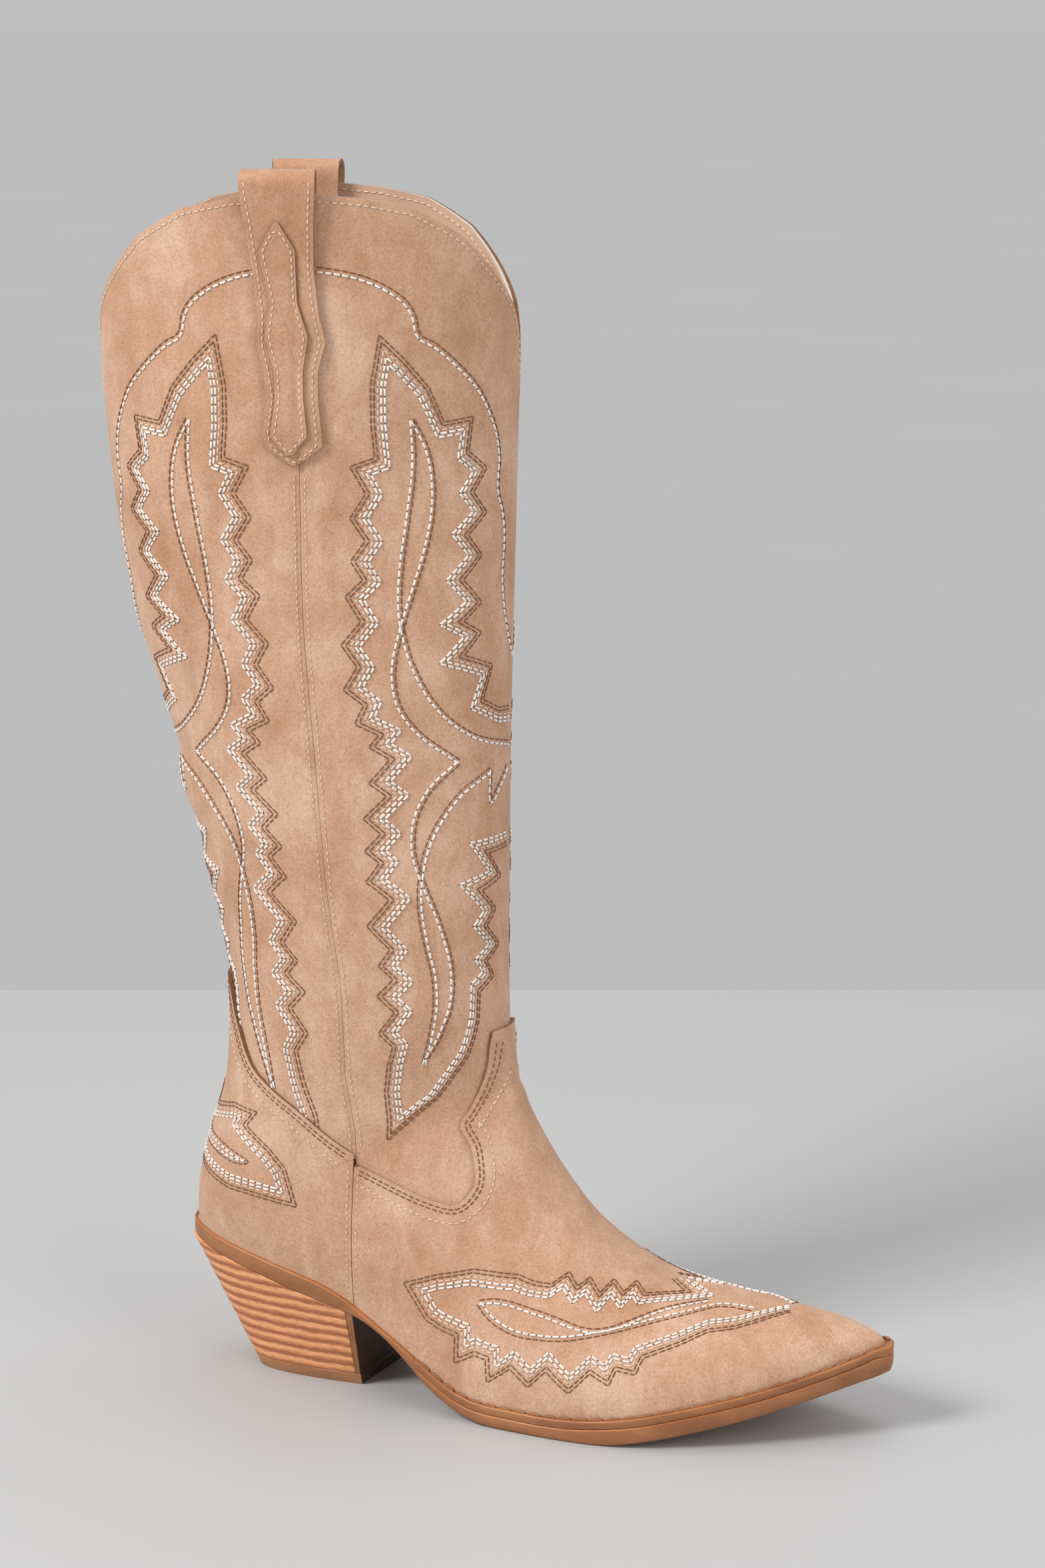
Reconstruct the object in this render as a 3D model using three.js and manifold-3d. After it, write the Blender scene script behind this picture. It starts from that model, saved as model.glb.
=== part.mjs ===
// A pull-on cowboy boot for the right foot, as the pieces that a shoemaker cuts and lasts together.
// Millimetres. +X is the toe, +Y the inner side of the foot, +Z up. While the boot is modelled x is 0
// at the back of the heel and z is 0 on the floor. The finished group is centred on its own box.

import * as THREE from 'three';
import { mergeVertices } from 'three/addons/utils/BufferGeometryUtils.js';
import Module from 'manifold-3d';

const wasm = await Module();
wasm.setup();

// ---------------------------------------------------------------- driving dimensions

const GAP = 0.3;                 // clearance between pieces that touch
const SUEDE = 1.4;               // outer panels
const LINING = 1.0;
const TAPE = 0.5;                // reinforcing tape behind seams and edges
const STIFFENER = 1.1;           // toe puff and heel counter board
const INSOLE = 2.2;
const SOCK = 2.0;
const LIFT = 4.6;                // top lift, the piece of the heel that wears
const WRAP = 1.3;                // stacked covering of the heel
const WELT = 3.0;
const MARGIN_WIDTH = 12;         // upper turned under the insole
const TUCK = 8;                  // back panel tucked under the counter

// Layers, as distances from the lasted surface, outward positive.
const PANEL = [-SUEDE, 0];
const FOOT = [GAP, GAP + SUEDE];
const BACKING = [-SUEDE - GAP - TAPE, -SUEDE - GAP];
const BOARD = [-STIFFENER, 0];
const INNER = [-SUEDE - TAPE - 2 * GAP - LINING - 0.1, -SUEDE - TAPE - 2 * GAP - 0.1];

// Sections of the last. Down the shaft they lie flat, round the ankle they fan out, and along the foot
// they stand up. Columns: front point x and z, back (or sole edge) point x and z, half width on the
// outer and the inner side, opening angle at the sole in degrees, and how far the section is
// egg-shaped, with its blunt end at the back.
const SECTIONS = [
  [127.5, 462, -27, 462, 46.5, 46.5, 0, 0],
  [127.5, 400, -27, 400, 46, 46, 0, 0],
  [126.5, 350, -24, 350, 45.3, 45.3, 0, 0],
  [125.5, 300, -17, 300, 44, 44, 0, 0],
  [125, 250, -3, 250, 42, 42, 0, 0],
  [125.5, 200, 8, 200, 39.5, 39.5, 0, 0],
  [125.5, 165, 16.5, 165, 37.5, 37.5, 0, 0.02],
  [126, 146, 18, 140, 36.3, 36.3, 0, 0.05],
  [127, 137, 16.5, 115, 34.5, 34.5, 0, 0.12],
  [127.8, 129.5, 9.5, 92, 32.8, 32.8, 0, 0.2],
  [128.5, 125, 4.8, 74, 32, 32, 0, 0.25],
  [129.2, 120.3, 3.8, 58.3, 31.7, 31.7, 0, 0.25],
  [129.6, 119.3, 5.2, 57.9, 31.6, 31.6, 14, 0.25],
  [130.3, 117.9, 12, 56.3, 31.6, 31.6, 27, 0.25],
  [131.5, 115.4, 25, 53.2, 31.7, 31.7, 40, 0.22],
  [133.3, 110, 45, 48.2, 32.2, 32.2, 50, 0.19],
  [137.5, 101.4, 70, 40.7, 33, 33, 57, 0.16],
  [145.8, 87.8, 97, 24.2, 34.8, 33.8, 64, 0.15],
  [155.3, 75.1, 122, 10, 39.3, 36.3, 70, 0.15],
  [164, 66, 145, 8, 43.3, 39.3, 73, 0.15],
  [175.7, 56.9, 168, 8.4, 45.8, 40.8, 75, 0.15],
  [189.5, 50.3, 190, 11.2, 44.8, 38.8, 76, 0.15],
  [209.8, 46.2, 210, 15.5, 39.3, 32.8, 77, 0.15],
  [227.8, 44.1, 228, 19.7, 31.8, 25.8, 78, 0.14],
  [242.6, 42.3, 242.6, 23.6, 23.8, 19.3, 78, 0.12],
  [254.2, 40.3, 254.2, 27.3, 16.3, 13.8, 79, 0.1],
  [263.2, 37.9, 263, 30.2, 9.6, 8.8, 80, 0.05],
  [269.2, 35.6, 269, 32.4, 4.4, 4.4, 80, 0],
  [271.5, 34.3, 271.5, 33.9, 0, 0, 80, 0],
];
const TOE = SECTIONS.length - 1;  // the section that closes to a point at the toe
const HEEL_SEAT = 11;             // the section where the sole edge starts, at the back of the heel

const SHAFT_TWIST = 0.275;        // radians that the top of the shaft is turned inward
const TWIST_FROM = 120;
const TWIST_TO = 380;

// Height of the top edge against the share of the way from the side seam to the front or back centre.
const TOP_LINE = [[0, 450.5], [0.2, 448.5], [0.36, 445], [0.54, 435.5], [0.7, 422.5],
  [0.86, 409.5], [0.95, 398], [1, 381]];

// Seams and edges seen from the side, as x and z.
const FOOT_SEAM_X = 76.8;
// Share of the way round a section at which the side seam runs, against the section's place. Past
// section 12 it is the hidden edge of the front panel, under the vamp.
const SIDE_SEAM = [[4, 0.5], [5, 0.503], [6, 0.512], [8, 0.515], [9, 0.54], [10, 0.554], [11, 0.555],
  [12, 0.516], [13, 0.471], [14, 0.406], [15, 0.377], [16, 0.423], [17, 0.47], [18, 0.5]];
const VAMP_EDGE = [[77, 92], [89.5, 86.8], [101, 82.3], [110, 79.7], [116, 79], [120, 82], [122.3, 87],
  [121.5, 93.3], [119.5, 99.5], [115, 107], [117.4, 112.3], [121, 120.7], [123.4, 129], [124.6, 139.5],
  [126.4, 142], [140, 142]];
const COUNTER_EDGE = [[-10, 156], [17, 156], [22.3, 150.4], [27.7, 139.7], [34.5, 126.7], [42.7, 119.7],
  [55.6, 111.4], [67.3, 102], [77, 95.3]];
// Hidden lower edge of the front panel, tucked under the vamp.
const PANEL_FOOT = [[-60, 84], [77, 84], [101, 74.5], [119, 71], [124, 72], [127, 88], [129, 105],
  [132, 125], [300, 134]];
const LINING_SEAM = [[-30, 112], [0, 112], [77, 97], [112, 92], [150, 118], [190, 118]];

// Underside of the outsole, from the back of the heel to the toe.
const SOLE_UNDERSIDE = [[-6, 53], [10, 50], [32, 44.5], [54, 38.5], [74, 33.6], [82, 30.6], [90.6, 25.4],
  [99, 18.4], [108.7, 10], [118, 4.6], [127, 1.4], [136, 0], [176, 0], [193, 2.1], [211, 6],
  [229, 10.5], [245, 15], [261, 20], [272, 23.2], [284, 26.6]];
const WELT_FROM = 104;            // the welt runs from here round the toe

// How far the sole edge stands out from the last, against x.
const SOLE_LEDGE = [[0, 2.9], [60, 3], [110, 3.7], [240, 3.8], [266, 4.6], [272, 6]];

// The heel block: where it meets the outsole and where it meets the top lift and the floor.
const HEEL_BREAST_TOP = [76.5, 80];        // x of the front corners, outer and inner side
const HEEL_BREAST_FLOOR = [74, 78];
const HEEL_BACK_FLOOR = 27;
const HEEL_HALF_WIDTH_FLOOR = 17.5;

// ---------------------------------------------------------------- numbers and curves

const clamp = (value, low, high) => Math.min(high, Math.max(low, value));
const mix = (a, b, t) => a + (b - a) * t;

function smoothStep(low, high, value) {
  const t = clamp((value - low) / (high - low), 0, 1);
  return t * t * (3 - 2 * t);
}

// Straight-line reading of a list of [key, value] pairs.
function readCurve(curve, key) {
  if (key <= curve[0][0]) return curve[0][1];
  for (let i = 1; i < curve.length; i += 1) {
    const [k1, v1] = curve[i];
    if (key > k1) continue;
    const [k0, v0] = curve[i - 1];
    return mix(v0, v1, (key - k0) / (k1 - k0));
  }
  return curve[curve.length - 1][1];
}

// Evenly spaced numbers from first to last, count intervals.
function spread(first, last, count) {
  return Array.from({ length: count + 1 }, (_, i) => mix(first, last, i / count));
}

// ---------------------------------------------------------------- the last

// Catmull-Rom reading of SECTIONS at any place between its rows.
function section(u) {
  const i = clamp(Math.floor(u), 0, TOE - 1);
  const t = u - i;
  const row = (k) => SECTIONS[clamp(k, 0, TOE)];
  return SECTIONS[i].map((_, c) => {
    const p1 = row(i)[c];
    const p2 = row(i + 1)[c];
    const p0 = i > 0 ? row(i - 1)[c] : 2 * p1 - p2;
    const p3 = i < TOE - 1 ? row(i + 2)[c] : 2 * p2 - p1;
    const linear = p2 - p0;
    const square = 2 * p0 - 5 * p1 + 4 * p2 - p3;
    const cube = 3 * p1 - p0 - 3 * p2 + p3;
    return 0.5 * (2 * p1 + linear * t + square * t * t + cube * t * t * t);
  });
}

// A point of the lasted surface. s runs from 0 at the back or the sole edge to 1 at the front, side is
// -1 on the outer side of the foot and +1 on the inner side.
function lastPoint(u, s, side) {
  const [frontX, frontZ, backX, backZ, outer, inner, opening, egg] = section(u);
  const start = THREE.MathUtils.degToRad(clamp(opening, 0, 90));
  const angle = start + (Math.PI - start) * s;
  const along = (Math.cos(start) - Math.cos(angle)) / (1 + Math.cos(start));
  const half = Math.max(0, side < 0 ? outer : inner);
  const y = side * half * Math.sin(angle) * (1 + clamp(egg, 0, 1) * Math.cos(angle));
  const x = mix(backX, frontX, along);
  const z = mix(backZ, frontZ, along);
  const centre = (frontX + backX) / 2;
  const turn = SHAFT_TWIST * smoothStep(TWIST_FROM, TWIST_TO, z);
  return new THREE.Vector3(
    centre + (x - centre) * Math.cos(turn) - y * Math.sin(turn),
    (x - centre) * Math.sin(turn) + y * Math.cos(turn),
    z,
  );
}

// The same, carried over the front or back centre line onto the other side.
function lastPointAcross(u, s, side) {
  if (s > 1) return lastPoint(u, 2 - s, -side);
  if (s < 0) return u <= HEEL_SEAT ? lastPoint(u, -s, -side) : lastPoint(u, 0, side);
  return lastPoint(u, s, side);
}

function lastNormal(u, s, side) {
  const step = 0.004;
  const around = lastPointAcross(u, s + step, side).sub(lastPointAcross(u, s - step, side));
  const down = lastPoint(Math.min(u + step, TOE), s, side).sub(lastPoint(Math.max(u - step, 0), s, side));
  return around.cross(down).multiplyScalar(side).normalize();
}

// A point at a distance from the last. Layers draw together towards the toe, where there is no room.
function layerPoint(u, s, side, distance) {
  const width = section(u)[4];
  const squeeze = distance < 0 ? clamp(width / 9, 0.12, 1) : 1;
  if (u >= TOE) return lastPoint(TOE, 1, side).add(new THREE.Vector3(distance * squeeze, 0, 0));
  return lastPoint(u, s, side).addScaledVector(lastNormal(u, s, side), distance * squeeze);
}

// Place in SECTIONS of a height on the shaft.
function sectionAtHeight(z) {
  for (let i = 0; i < 6; i += 1) {
    const high = SECTIONS[i][1];
    const low = SECTIONS[i + 1][1];
    if (z >= low) return i + (high - z) / (high - low);
  }
  return 6;
}

// ---------------------------------------------------------------- solids

function solidFromGeometry(geometry) {
  const bare = geometry.index ? geometry.toNonIndexed() : geometry.clone();
  bare.deleteAttribute('normal');
  bare.deleteAttribute('uv');
  const merged = mergeVertices(bare, 1e-4);
  const corners = merged.index.array;
  const kept = [];
  for (let i = 0; i < corners.length; i += 3) {
    const [a, b, c] = [corners[i], corners[i + 1], corners[i + 2]];
    if (a !== b && b !== c && c !== a) kept.push(a, b, c);
  }
  return new wasm.Manifold(new wasm.Mesh({
    numProp: 3,
    vertProperties: new Float32Array(merged.attributes.position.array),
    triVerts: new Uint32Array(kept),
  }));
}

function geometryFromSolid(solid) {
  const { vertProperties, triVerts } = solid.getMesh();
  const geometry = new THREE.BufferGeometry();
  geometry.setAttribute('position', new THREE.BufferAttribute(new Float32Array(vertProperties), 3));
  geometry.setIndex(new THREE.BufferAttribute(new Uint32Array(triVerts), 1));
  return geometry;
}

// A closed solid from quads and triangles given as lists of points.
function solidFromFaces(faces) {
  const values = [];
  for (const face of faces) {
    for (let i = 2; i < face.length; i += 1) {
      for (const point of [face[0], face[i - 1], face[i]]) values.push(point.x, point.y, point.z);
    }
  }
  const geometry = new THREE.BufferGeometry();
  geometry.setAttribute('position', new THREE.Float32BufferAttribute(values, 3));
  return solidFromGeometry(geometry);
}

// A prism along Y of an outline given as x and z.
function prismAlongY(outline, yLow = -70, yHigh = 70) {
  const shape = new THREE.Shape(outline.map(([x, z]) => new THREE.Vector2(x, z)));
  const prism = new THREE.ExtrudeGeometry(shape, { depth: yHigh - yLow, bevelEnabled: false });
  prism.rotateX(Math.PI / 2);
  prism.translate(0, yHigh, 0);
  return solidFromGeometry(prism);
}

// An upright prism of a plan outline given as x and y.
function prismUpright(outline, zLow = -10, zHigh = 80) {
  const shape = new THREE.Shape(outline.map(([x, y]) => new THREE.Vector2(x, y)));
  const prism = new THREE.ExtrudeGeometry(shape, { depth: zHigh - zLow, bevelEnabled: false });
  prism.translate(0, 0, zLow);
  return solidFromGeometry(prism);
}

// ---------------------------------------------------------------- layers of the upper

const ROWS = [0, 0.35, 1, 2, 3, 4, 5, 6, 7, 8, 9, 10, 11, 12, 13, 14.5, 16, 17, 18, 19, 20.5, 22,
  23.5, 25, 26, 27, TOE];
const COLUMNS = [0, 0.025, 0.08, 0.17, 0.28, 0.38, 0.47, 0.5, 0.53, 0.62, 0.72, 0.83, 0.92, 0.975, 1];
const COARSE_COLUMNS = [0, 0.08, 0.2, 0.35, 0.5, 0.65, 0.8, 0.92, 1];
const SEAM_SHARE = 0.0007;        // half of the gap at the side seam, as a share of the section
const FRONT_HALF = [0.5 + SEAM_SHARE, 1];
const BACK_HALF = [0, 0.5 - SEAM_SHARE];

// The top rows of the grid follow the curved top edge.
function followTopLine(u, s) {
  const free = 2;
  if (u >= free) return u;
  const top = sectionAtHeight(readCurve(TOP_LINE, Math.abs(2 * s - 1)));
  return mix(top, free, u / free);
}

// Columns are counted so that 0.5 is always the side seam.
function columnShare(u, column) {
  const seam = readCurve(SIDE_SEAM, u);
  return column < 0.5 ? 2 * column * seam : mix(seam, 1, 2 * column - 1);
}

function pick(values, first, last) {
  const inside = values.filter((value) => value > first + 1e-3 && value < last - 1e-3);
  return [first, ...inside, last];
}

// A closed skin between two distances from the last, over a range of rows and columns.
function skin([low, high], [firstRow, lastRow], [firstColumn, lastColumn], options = {}) {
  const { sides = [-1, 1], columnList = COLUMNS } = options;
  const rows = pick(ROWS, firstRow, lastRow);
  const columns = pick(columnList, firstColumn, lastColumn);
  const faces = [];
  for (const side of sides) {
    const at = (i, j, d) => {
      const u = followTopLine(rows[i], columns[j]);
      return layerPoint(u, columnShare(u, columns[j]), side, d);
    };
    const add = (points) => faces.push(side > 0 ? points : points.slice().reverse());
    for (let i = 0; i + 1 < rows.length; i += 1) {
      for (let j = 0; j + 1 < columns.length; j += 1) {
        add([at(i, j, high), at(i, j + 1, high), at(i + 1, j + 1, high), at(i + 1, j, high)]);
        add([at(i, j, low), at(i + 1, j, low), at(i + 1, j + 1, low), at(i, j + 1, low)]);
      }
      const openBack = firstColumn > 0 || rows[i] >= HEEL_SEAT || sides.length === 1;
      if (openBack) add([at(i, 0, low), at(i, 0, high), at(i + 1, 0, high), at(i + 1, 0, low)]);
      const n = columns.length - 1;
      const openFront = lastColumn < 1 || sides.length === 1;
      if (openFront) add([at(i, n, high), at(i, n, low), at(i + 1, n, low), at(i + 1, n, high)]);
    }
    for (let j = 0; j + 1 < columns.length; j += 1) {
      const n = rows.length - 1;
      add([at(0, j, low), at(0, j + 1, low), at(0, j + 1, high), at(0, j, high)]);
      if (rows[n] < TOE) add([at(n, j, high), at(n, j + 1, high), at(n, j + 1, low), at(n, j, low)]);
    }
  }
  return solidFromFaces(faces);
}

// ---------------------------------------------------------------- cutters seen from the side

const FAR = 400;
const lowered = (line, drop) => line.map(([x, z]) => [x, z - drop]);
const below = (line, drop = 0) => prismAlongY([...lowered(line, drop), [line[line.length - 1][0], -FAR],
  [line[0][0], -FAR]]);

// Everything in front of, or behind, the upright seam of the foot.
const ahead = (gap = GAP / 2) => prismAlongY([[FOOT_SEAM_X + gap, -20], [FAR, -20], [FAR, 520],
  [FOOT_SEAM_X + gap, 520]]);
const behind = (gap = GAP / 2) => prismAlongY([[-FAR, -20], [FOOT_SEAM_X - gap, -20],
  [FOOT_SEAM_X - gap, 520], [-FAR, 520]]);

// Region of the vamp, with the front of the foot below its scalloped edge.
const vampRegion = (drop = 0) => below([...VAMP_EDGE, [300, 142]], drop);
const counterRegion = (drop = 0) => below(COUNTER_EDGE, drop);

// ---------------------------------------------------------------- the seat that the upper stands on

// The top of the sole seen from the side, and the same line moved along its own normal.
const SEAT = [[-6, 60.4], ...spread(HEEL_SEAT + 2, TOE - 2, 13).map((u) => {
  const [, , x, z] = section(u);
  return [x, z];
}), [284, 39.3]];

function moveLine(line, distance) {
  return line.map(([x, z], i) => {
    const [x0, z0] = line[Math.max(i - 1, 0)];
    const [x1, z1] = line[Math.min(i + 1, line.length - 1)];
    const length = Math.hypot(x1 - x0, z1 - z0);
    return [x - (distance * (z1 - z0)) / length, z + (distance * (x1 - x0)) / length];
  });
}

const seatBand = (low, high) => prismAlongY([...moveLine(SEAT, low), ...moveLine(SEAT, high).reverse()]);
const aboveSeat = (height) => prismAlongY([...moveLine(SEAT, height), [284, 500], [-60, 500], [-60, 60]]);

// Plan outline of the sole edge, moved outward by a fixed distance or by a curve against x. It may stop
// short of the toe, with a straight end.
function planOutline(distance, lastRow = TOE) {
  const rows = spread(HEEL_SEAT, lastRow, Math.round(lastRow - HEEL_SEAT));
  const outer = rows.map((u) => lastPoint(u, 0, -1));
  const inner = rows.map((u) => lastPoint(u, 0, 1));
  const inward = inner.slice(1, lastRow === TOE ? -1 : undefined).reverse();
  const loop = [...outer, ...inward].map((p) => [p.x, p.y]);
  const end = outer.length - 1;
  return loop.map(([x, y], i) => {
    const straightEnd = lastRow < TOE;
    const before = straightEnd && i === end + 1 ? i : (i + loop.length - 1) % loop.length;
    const after = straightEnd && i === end ? i : (i + 1) % loop.length;
    const [x0, y0] = loop[before];
    const [x1, y1] = loop[after];
    const length = Math.hypot(x1 - x0, y1 - y0);
    const d = typeof distance === 'number' ? distance : readCurve(distance, x);
    return [x + (d * (y1 - y0)) / length, y - (d * (x1 - x0)) / length];
  });
}

// Plan outline well inside the sole edge, between two places along the foot.
function insetOutline(inset, from, to, count) {
  const width = (x, column) => {
    const curve = SECTIONS.slice(HEEL_SEAT).map((row) => {
      const open = THREE.MathUtils.degToRad(row[6]);
      return [row[2], row[column] * Math.sin(open) * (1 + row[7] * Math.cos(open))];
    });
    return readCurve(curve, x) - inset;
  };
  const xs = spread(from, to, count);
  return [...xs.map((x) => [x, -width(x, 4)]), ...xs.reverse().map((x) => [x, width(x, 5)])];
}

// ---------------------------------------------------------------- upper

const shaftFront = () => skin(PANEL, [0, 18], FRONT_HALF).subtract(below(PANEL_FOOT));

const shaftBack = () => skin(PANEL, [0, 12], BACK_HALF)
  .subtract(below([[-60, 156], ...COUNTER_EDGE, [300, 95.3]], TUCK));

// The turned-under edge of an upper piece, lying on the sole.
function lastingMargin() {
  const ring = prismUpright(planOutline(GAP + SUEDE / 2))
    .subtract(prismUpright(insetOutline(MARGIN_WIDTH, 16, 246, 9)));
  return seatBand(GAP, GAP + SUEDE).intersect(ring);
}

const footSkin = (layer, options) => skin(layer, [5, TOE], [0, 1], options);

const vamp = () => footSkin(FOOT)
  .intersect(vampRegion())
  .intersect(aboveSeat(GAP))
  .add(lastingMargin())
  .intersect(ahead());

const counter = () => footSkin(FOOT)
  .intersect(counterRegion())
  .intersect(aboveSeat(GAP))
  .add(lastingMargin())
  .intersect(behind());

// ---------------------------------------------------------------- lining and stiffening

const ABOVE_MARGIN = GAP + SUEDE + GAP;
const SEAM_TAPE_SHARE = 0.03;
const coarse = { columnList: COARSE_COLUMNS };

const shaftLining = (half) => skin(INNER, [0, 18], half)
  .subtract(below(LINING_SEAM, -GAP / 2));

const vampLining = () => footSkin(INNER, coarse)
  .intersect(below(LINING_SEAM, GAP / 2))
  .intersect(aboveSeat(ABOVE_MARGIN))
  .intersect(ahead());

const heelLining = () => skin(INNER, [5, 18], [0, 1])
  .intersect(below(LINING_SEAM, GAP / 2))
  .intersect(aboveSeat(ABOVE_MARGIN))
  .intersect(behind());

const toePuff = () => skin(BOARD, [22, TOE], [0, 1])
  .intersect(aboveSeat(ABOVE_MARGIN))
  .intersect(prismAlongY([[216, -20], [300, -20], [300, 80], [226, 80]]));

const heelStiffener = () => skin(BOARD, [7, 17], [0, 1])
  .intersect(counterRegion(TUCK + 4))
  .intersect(aboveSeat(ABOVE_MARGIN))
  .intersect(prismAlongY([[-60, -20], [84, -20], [66, 86], [-60, 86]]));

const seamTape = (side) => skin(BACKING, [0, 7], [0.5 - SEAM_TAPE_SHARE, 0.5 + SEAM_TAPE_SHARE],
  { sides: [side] });

// A band of backing cloth just under the top edge, between the two seam tapes.
const edgeBacking = (columns) => skin(BACKING, [0, ROWS[1]], columns);

// ---------------------------------------------------------------- pull straps

const STRAP = 1.6;
const OVERLAY = 1;

// Rows of a strap: height, distance from the last, and its two edges measured from the side seam.
const STRAP_ROWS = [
  [354, 1.3, -2.5, -0.5],
  [361, 1.3, -11.6, 8.6],
  [366, 1.3, -12.5, 8.5],
  [379, 1.4, -10.4, 7.5],
  [389, 1.5, -11.8, 7.8],
  [398, 1.6, -13.7, 10.6],
  [408, 1.8, -13.2, 8.6],
  [424, 2.4, -14.8, 6.9],
  [440, 3.8, -17, 7],
  [449, 4.7, -18.4, 7.4],
  [454.8, 4.9, -18.8, 7.6],
  [457.3, 2.2, -18.9, 7.6],
  [457.9, -1.8, -18.9, 7.6],
  [457.3, -5.8, -18.9, 7.6],
  [454.8, -8.5, -18.8, 7.6],
  [449, -8.6, -18.4, 7.4],
  [436, -6.9, -17, 7],
  [420, -5.6, -14.8, 6.9],
  [404, -5.3, -13.5, 8],
];
const OVERLAY_ROWS = [
  [358, 2.95, -4, -2],
  [365, 2.95, -9.5, 3.5],
  [379, 3.05, -7.4, 2.5],
  [389, 3.15, -7.6, 2.6],
  [400, 3.35, -10.5, 4.6],
  [413, 3.6, -8.6, 1.2],
  [431, 4.6, -12, 0.6],
  [441, 5.4, -6.4, -5],
];

function beside(side, along, z, distance) {
  const u = sectionAtHeight(z);
  const [frontX, , backX] = section(u);
  const s = 0.5 + along / ((Math.PI * (frontX - backX)) / 2);
  return layerPoint(u, s, side, distance);
}

// A flat strip that follows its rows, with its thickness square to the way it runs.
function strip(rows, side, thickness, across) {
  const ring = rows.map(([z, d, low, high], i) => {
    const [z0, d0] = rows[Math.max(i - 1, 0)];
    const [z1, d1] = rows[Math.min(i + 1, rows.length - 1)];
    const length = Math.hypot(z1 - z0, d1 - d0);
    const [dz, dd] = [(-(d1 - d0) / length) * (thickness / 2), ((z1 - z0) / length) * (thickness / 2)];
    return spread(low, high, across).map((a) => [
      beside(side, a, z + dz, d + dd),
      beside(side, a, z - dz, d - dd),
    ]);
  });
  const faces = [];
  const add = (points) => faces.push(side > 0 ? points : points.slice().reverse());
  const last = ring.length - 1;
  for (let i = 0; i < last; i += 1) {
    for (let j = 0; j < across; j += 1) {
      add([ring[i][j][0], ring[i + 1][j][0], ring[i + 1][j + 1][0], ring[i][j + 1][0]]);
      add([ring[i][j][1], ring[i][j + 1][1], ring[i + 1][j + 1][1], ring[i + 1][j][1]]);
    }
    add([ring[i][0][0], ring[i][0][1], ring[i + 1][0][1], ring[i + 1][0][0]]);
    add([ring[i][across][0], ring[i + 1][across][0], ring[i + 1][across][1], ring[i][across][1]]);
  }
  for (let j = 0; j < across; j += 1) {
    add([ring[0][j][0], ring[0][j + 1][0], ring[0][j + 1][1], ring[0][j][1]]);
    add([ring[last][j][0], ring[last][j][1], ring[last][j + 1][1], ring[last][j + 1][0]]);
  }
  return solidFromFaces(faces);
}

// ---------------------------------------------------------------- sole

const soleOutline = () => prismUpright(planOutline(SOLE_LEDGE));
const weltHole = (extra) => prismUpright(insetOutline(7 - extra, 80, 258 + extra, 11));
const weltReach = (gap) => prismAlongY([[WELT_FROM + gap, -20], [300, -20], [300, 80],
  [WELT_FROM + gap, 80]]);

const welt = () => seatBand(-WELT, 0)
  .intersect(soleOutline())
  .subtract(weltHole(0))
  .intersect(weltReach(0));

function outsole() {
  const body = prismAlongY([...SOLE_UNDERSIDE, ...moveLine(SEAT, 0).reverse()]).intersect(soleOutline());
  const rebate = seatBand(-WELT - GAP, 6).subtract(weltHole(-GAP)).intersect(weltReach(-GAP));
  return body.subtract(rebate);
}

const SHANK_WIDTH = 12;
const SHANK_ENDS = [30, 132];
const SHANK_OUTLINE = [[SHANK_ENDS[0], -SHANK_WIDTH / 2], [SHANK_ENDS[1], -SHANK_WIDTH / 2],
  [SHANK_ENDS[1], SHANK_WIDTH / 2], [SHANK_ENDS[0], SHANK_WIDTH / 2]];
const grown = (outline, by) => outline.map(([x, y], i) => [x + (i === 1 || i === 2 ? by : -by),
  y + (i > 1 ? by : -by)]);

const shank = () => seatBand(GAP, GAP + SUEDE).intersect(prismUpright(SHANK_OUTLINE));

const filler = () => seatBand(GAP, GAP + SUEDE)
  .intersect(prismUpright(insetOutline(MARGIN_WIDTH + GAP, 17, 245, 9)))
  .subtract(prismUpright(grown(SHANK_OUTLINE, GAP)));

const insoleInset = INNER[0] - 5 * GAP;

const insoleBoard = () => seatBand(ABOVE_MARGIN, ABOVE_MARGIN + INSOLE)
  .intersect(prismUpright(planOutline(insoleInset, TOE - 2)))
  .subtract(rivetHoles());

const sockLiner = () => seatBand(ABOVE_MARGIN + INSOLE + GAP, ABOVE_MARGIN + INSOLE + GAP + SOCK)
  .intersect(prismUpright(planOutline(insoleInset - GAP, TOE - 3)));

// Tubular rivets that hold the shank to the insole board.
const RIVET_RADIUS = 2;
const RIVETS = [44, 116];

function seatFrame(x) {
  const index = SEAT.findIndex(([seatX]) => seatX > x);
  const [x0, z0] = SEAT[index - 1];
  const [x1, z1] = SEAT[index];
  return { z: mix(z0, z1, (x - x0) / (x1 - x0)), tilt: -Math.atan2(z1 - z0, x1 - x0) };
}

function rivetCylinder(x, radius, low, high) {
  const { z, tilt } = seatFrame(x);
  const cylinder = new THREE.CylinderGeometry(radius, radius, high - low, 16);
  cylinder.rotateX(Math.PI / 2);
  cylinder.translate(0, 0, (low + high) / 2);
  cylinder.rotateY(tilt);
  cylinder.translate(x, 0, z);
  return solidFromGeometry(cylinder);
}

const rivetHoles = () => RIVETS.map((x) => rivetCylinder(x, RIVET_RADIUS + GAP, -1, 12))
  .reduce((all, hole) => all.add(hole));
const shankRivet = (x) => rivetCylinder(x, RIVET_RADIUS, GAP + SUEDE + GAP, ABOVE_MARGIN + INSOLE);

// ---------------------------------------------------------------- heel

// Loops of the heel seen in plan, from the floor up to the outsole. share is 0 at the floor and 1 at
// the outsole, inset draws the loop in.
const HEEL_POINTS = 7;            // points on each side, from the back to the breast

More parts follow.
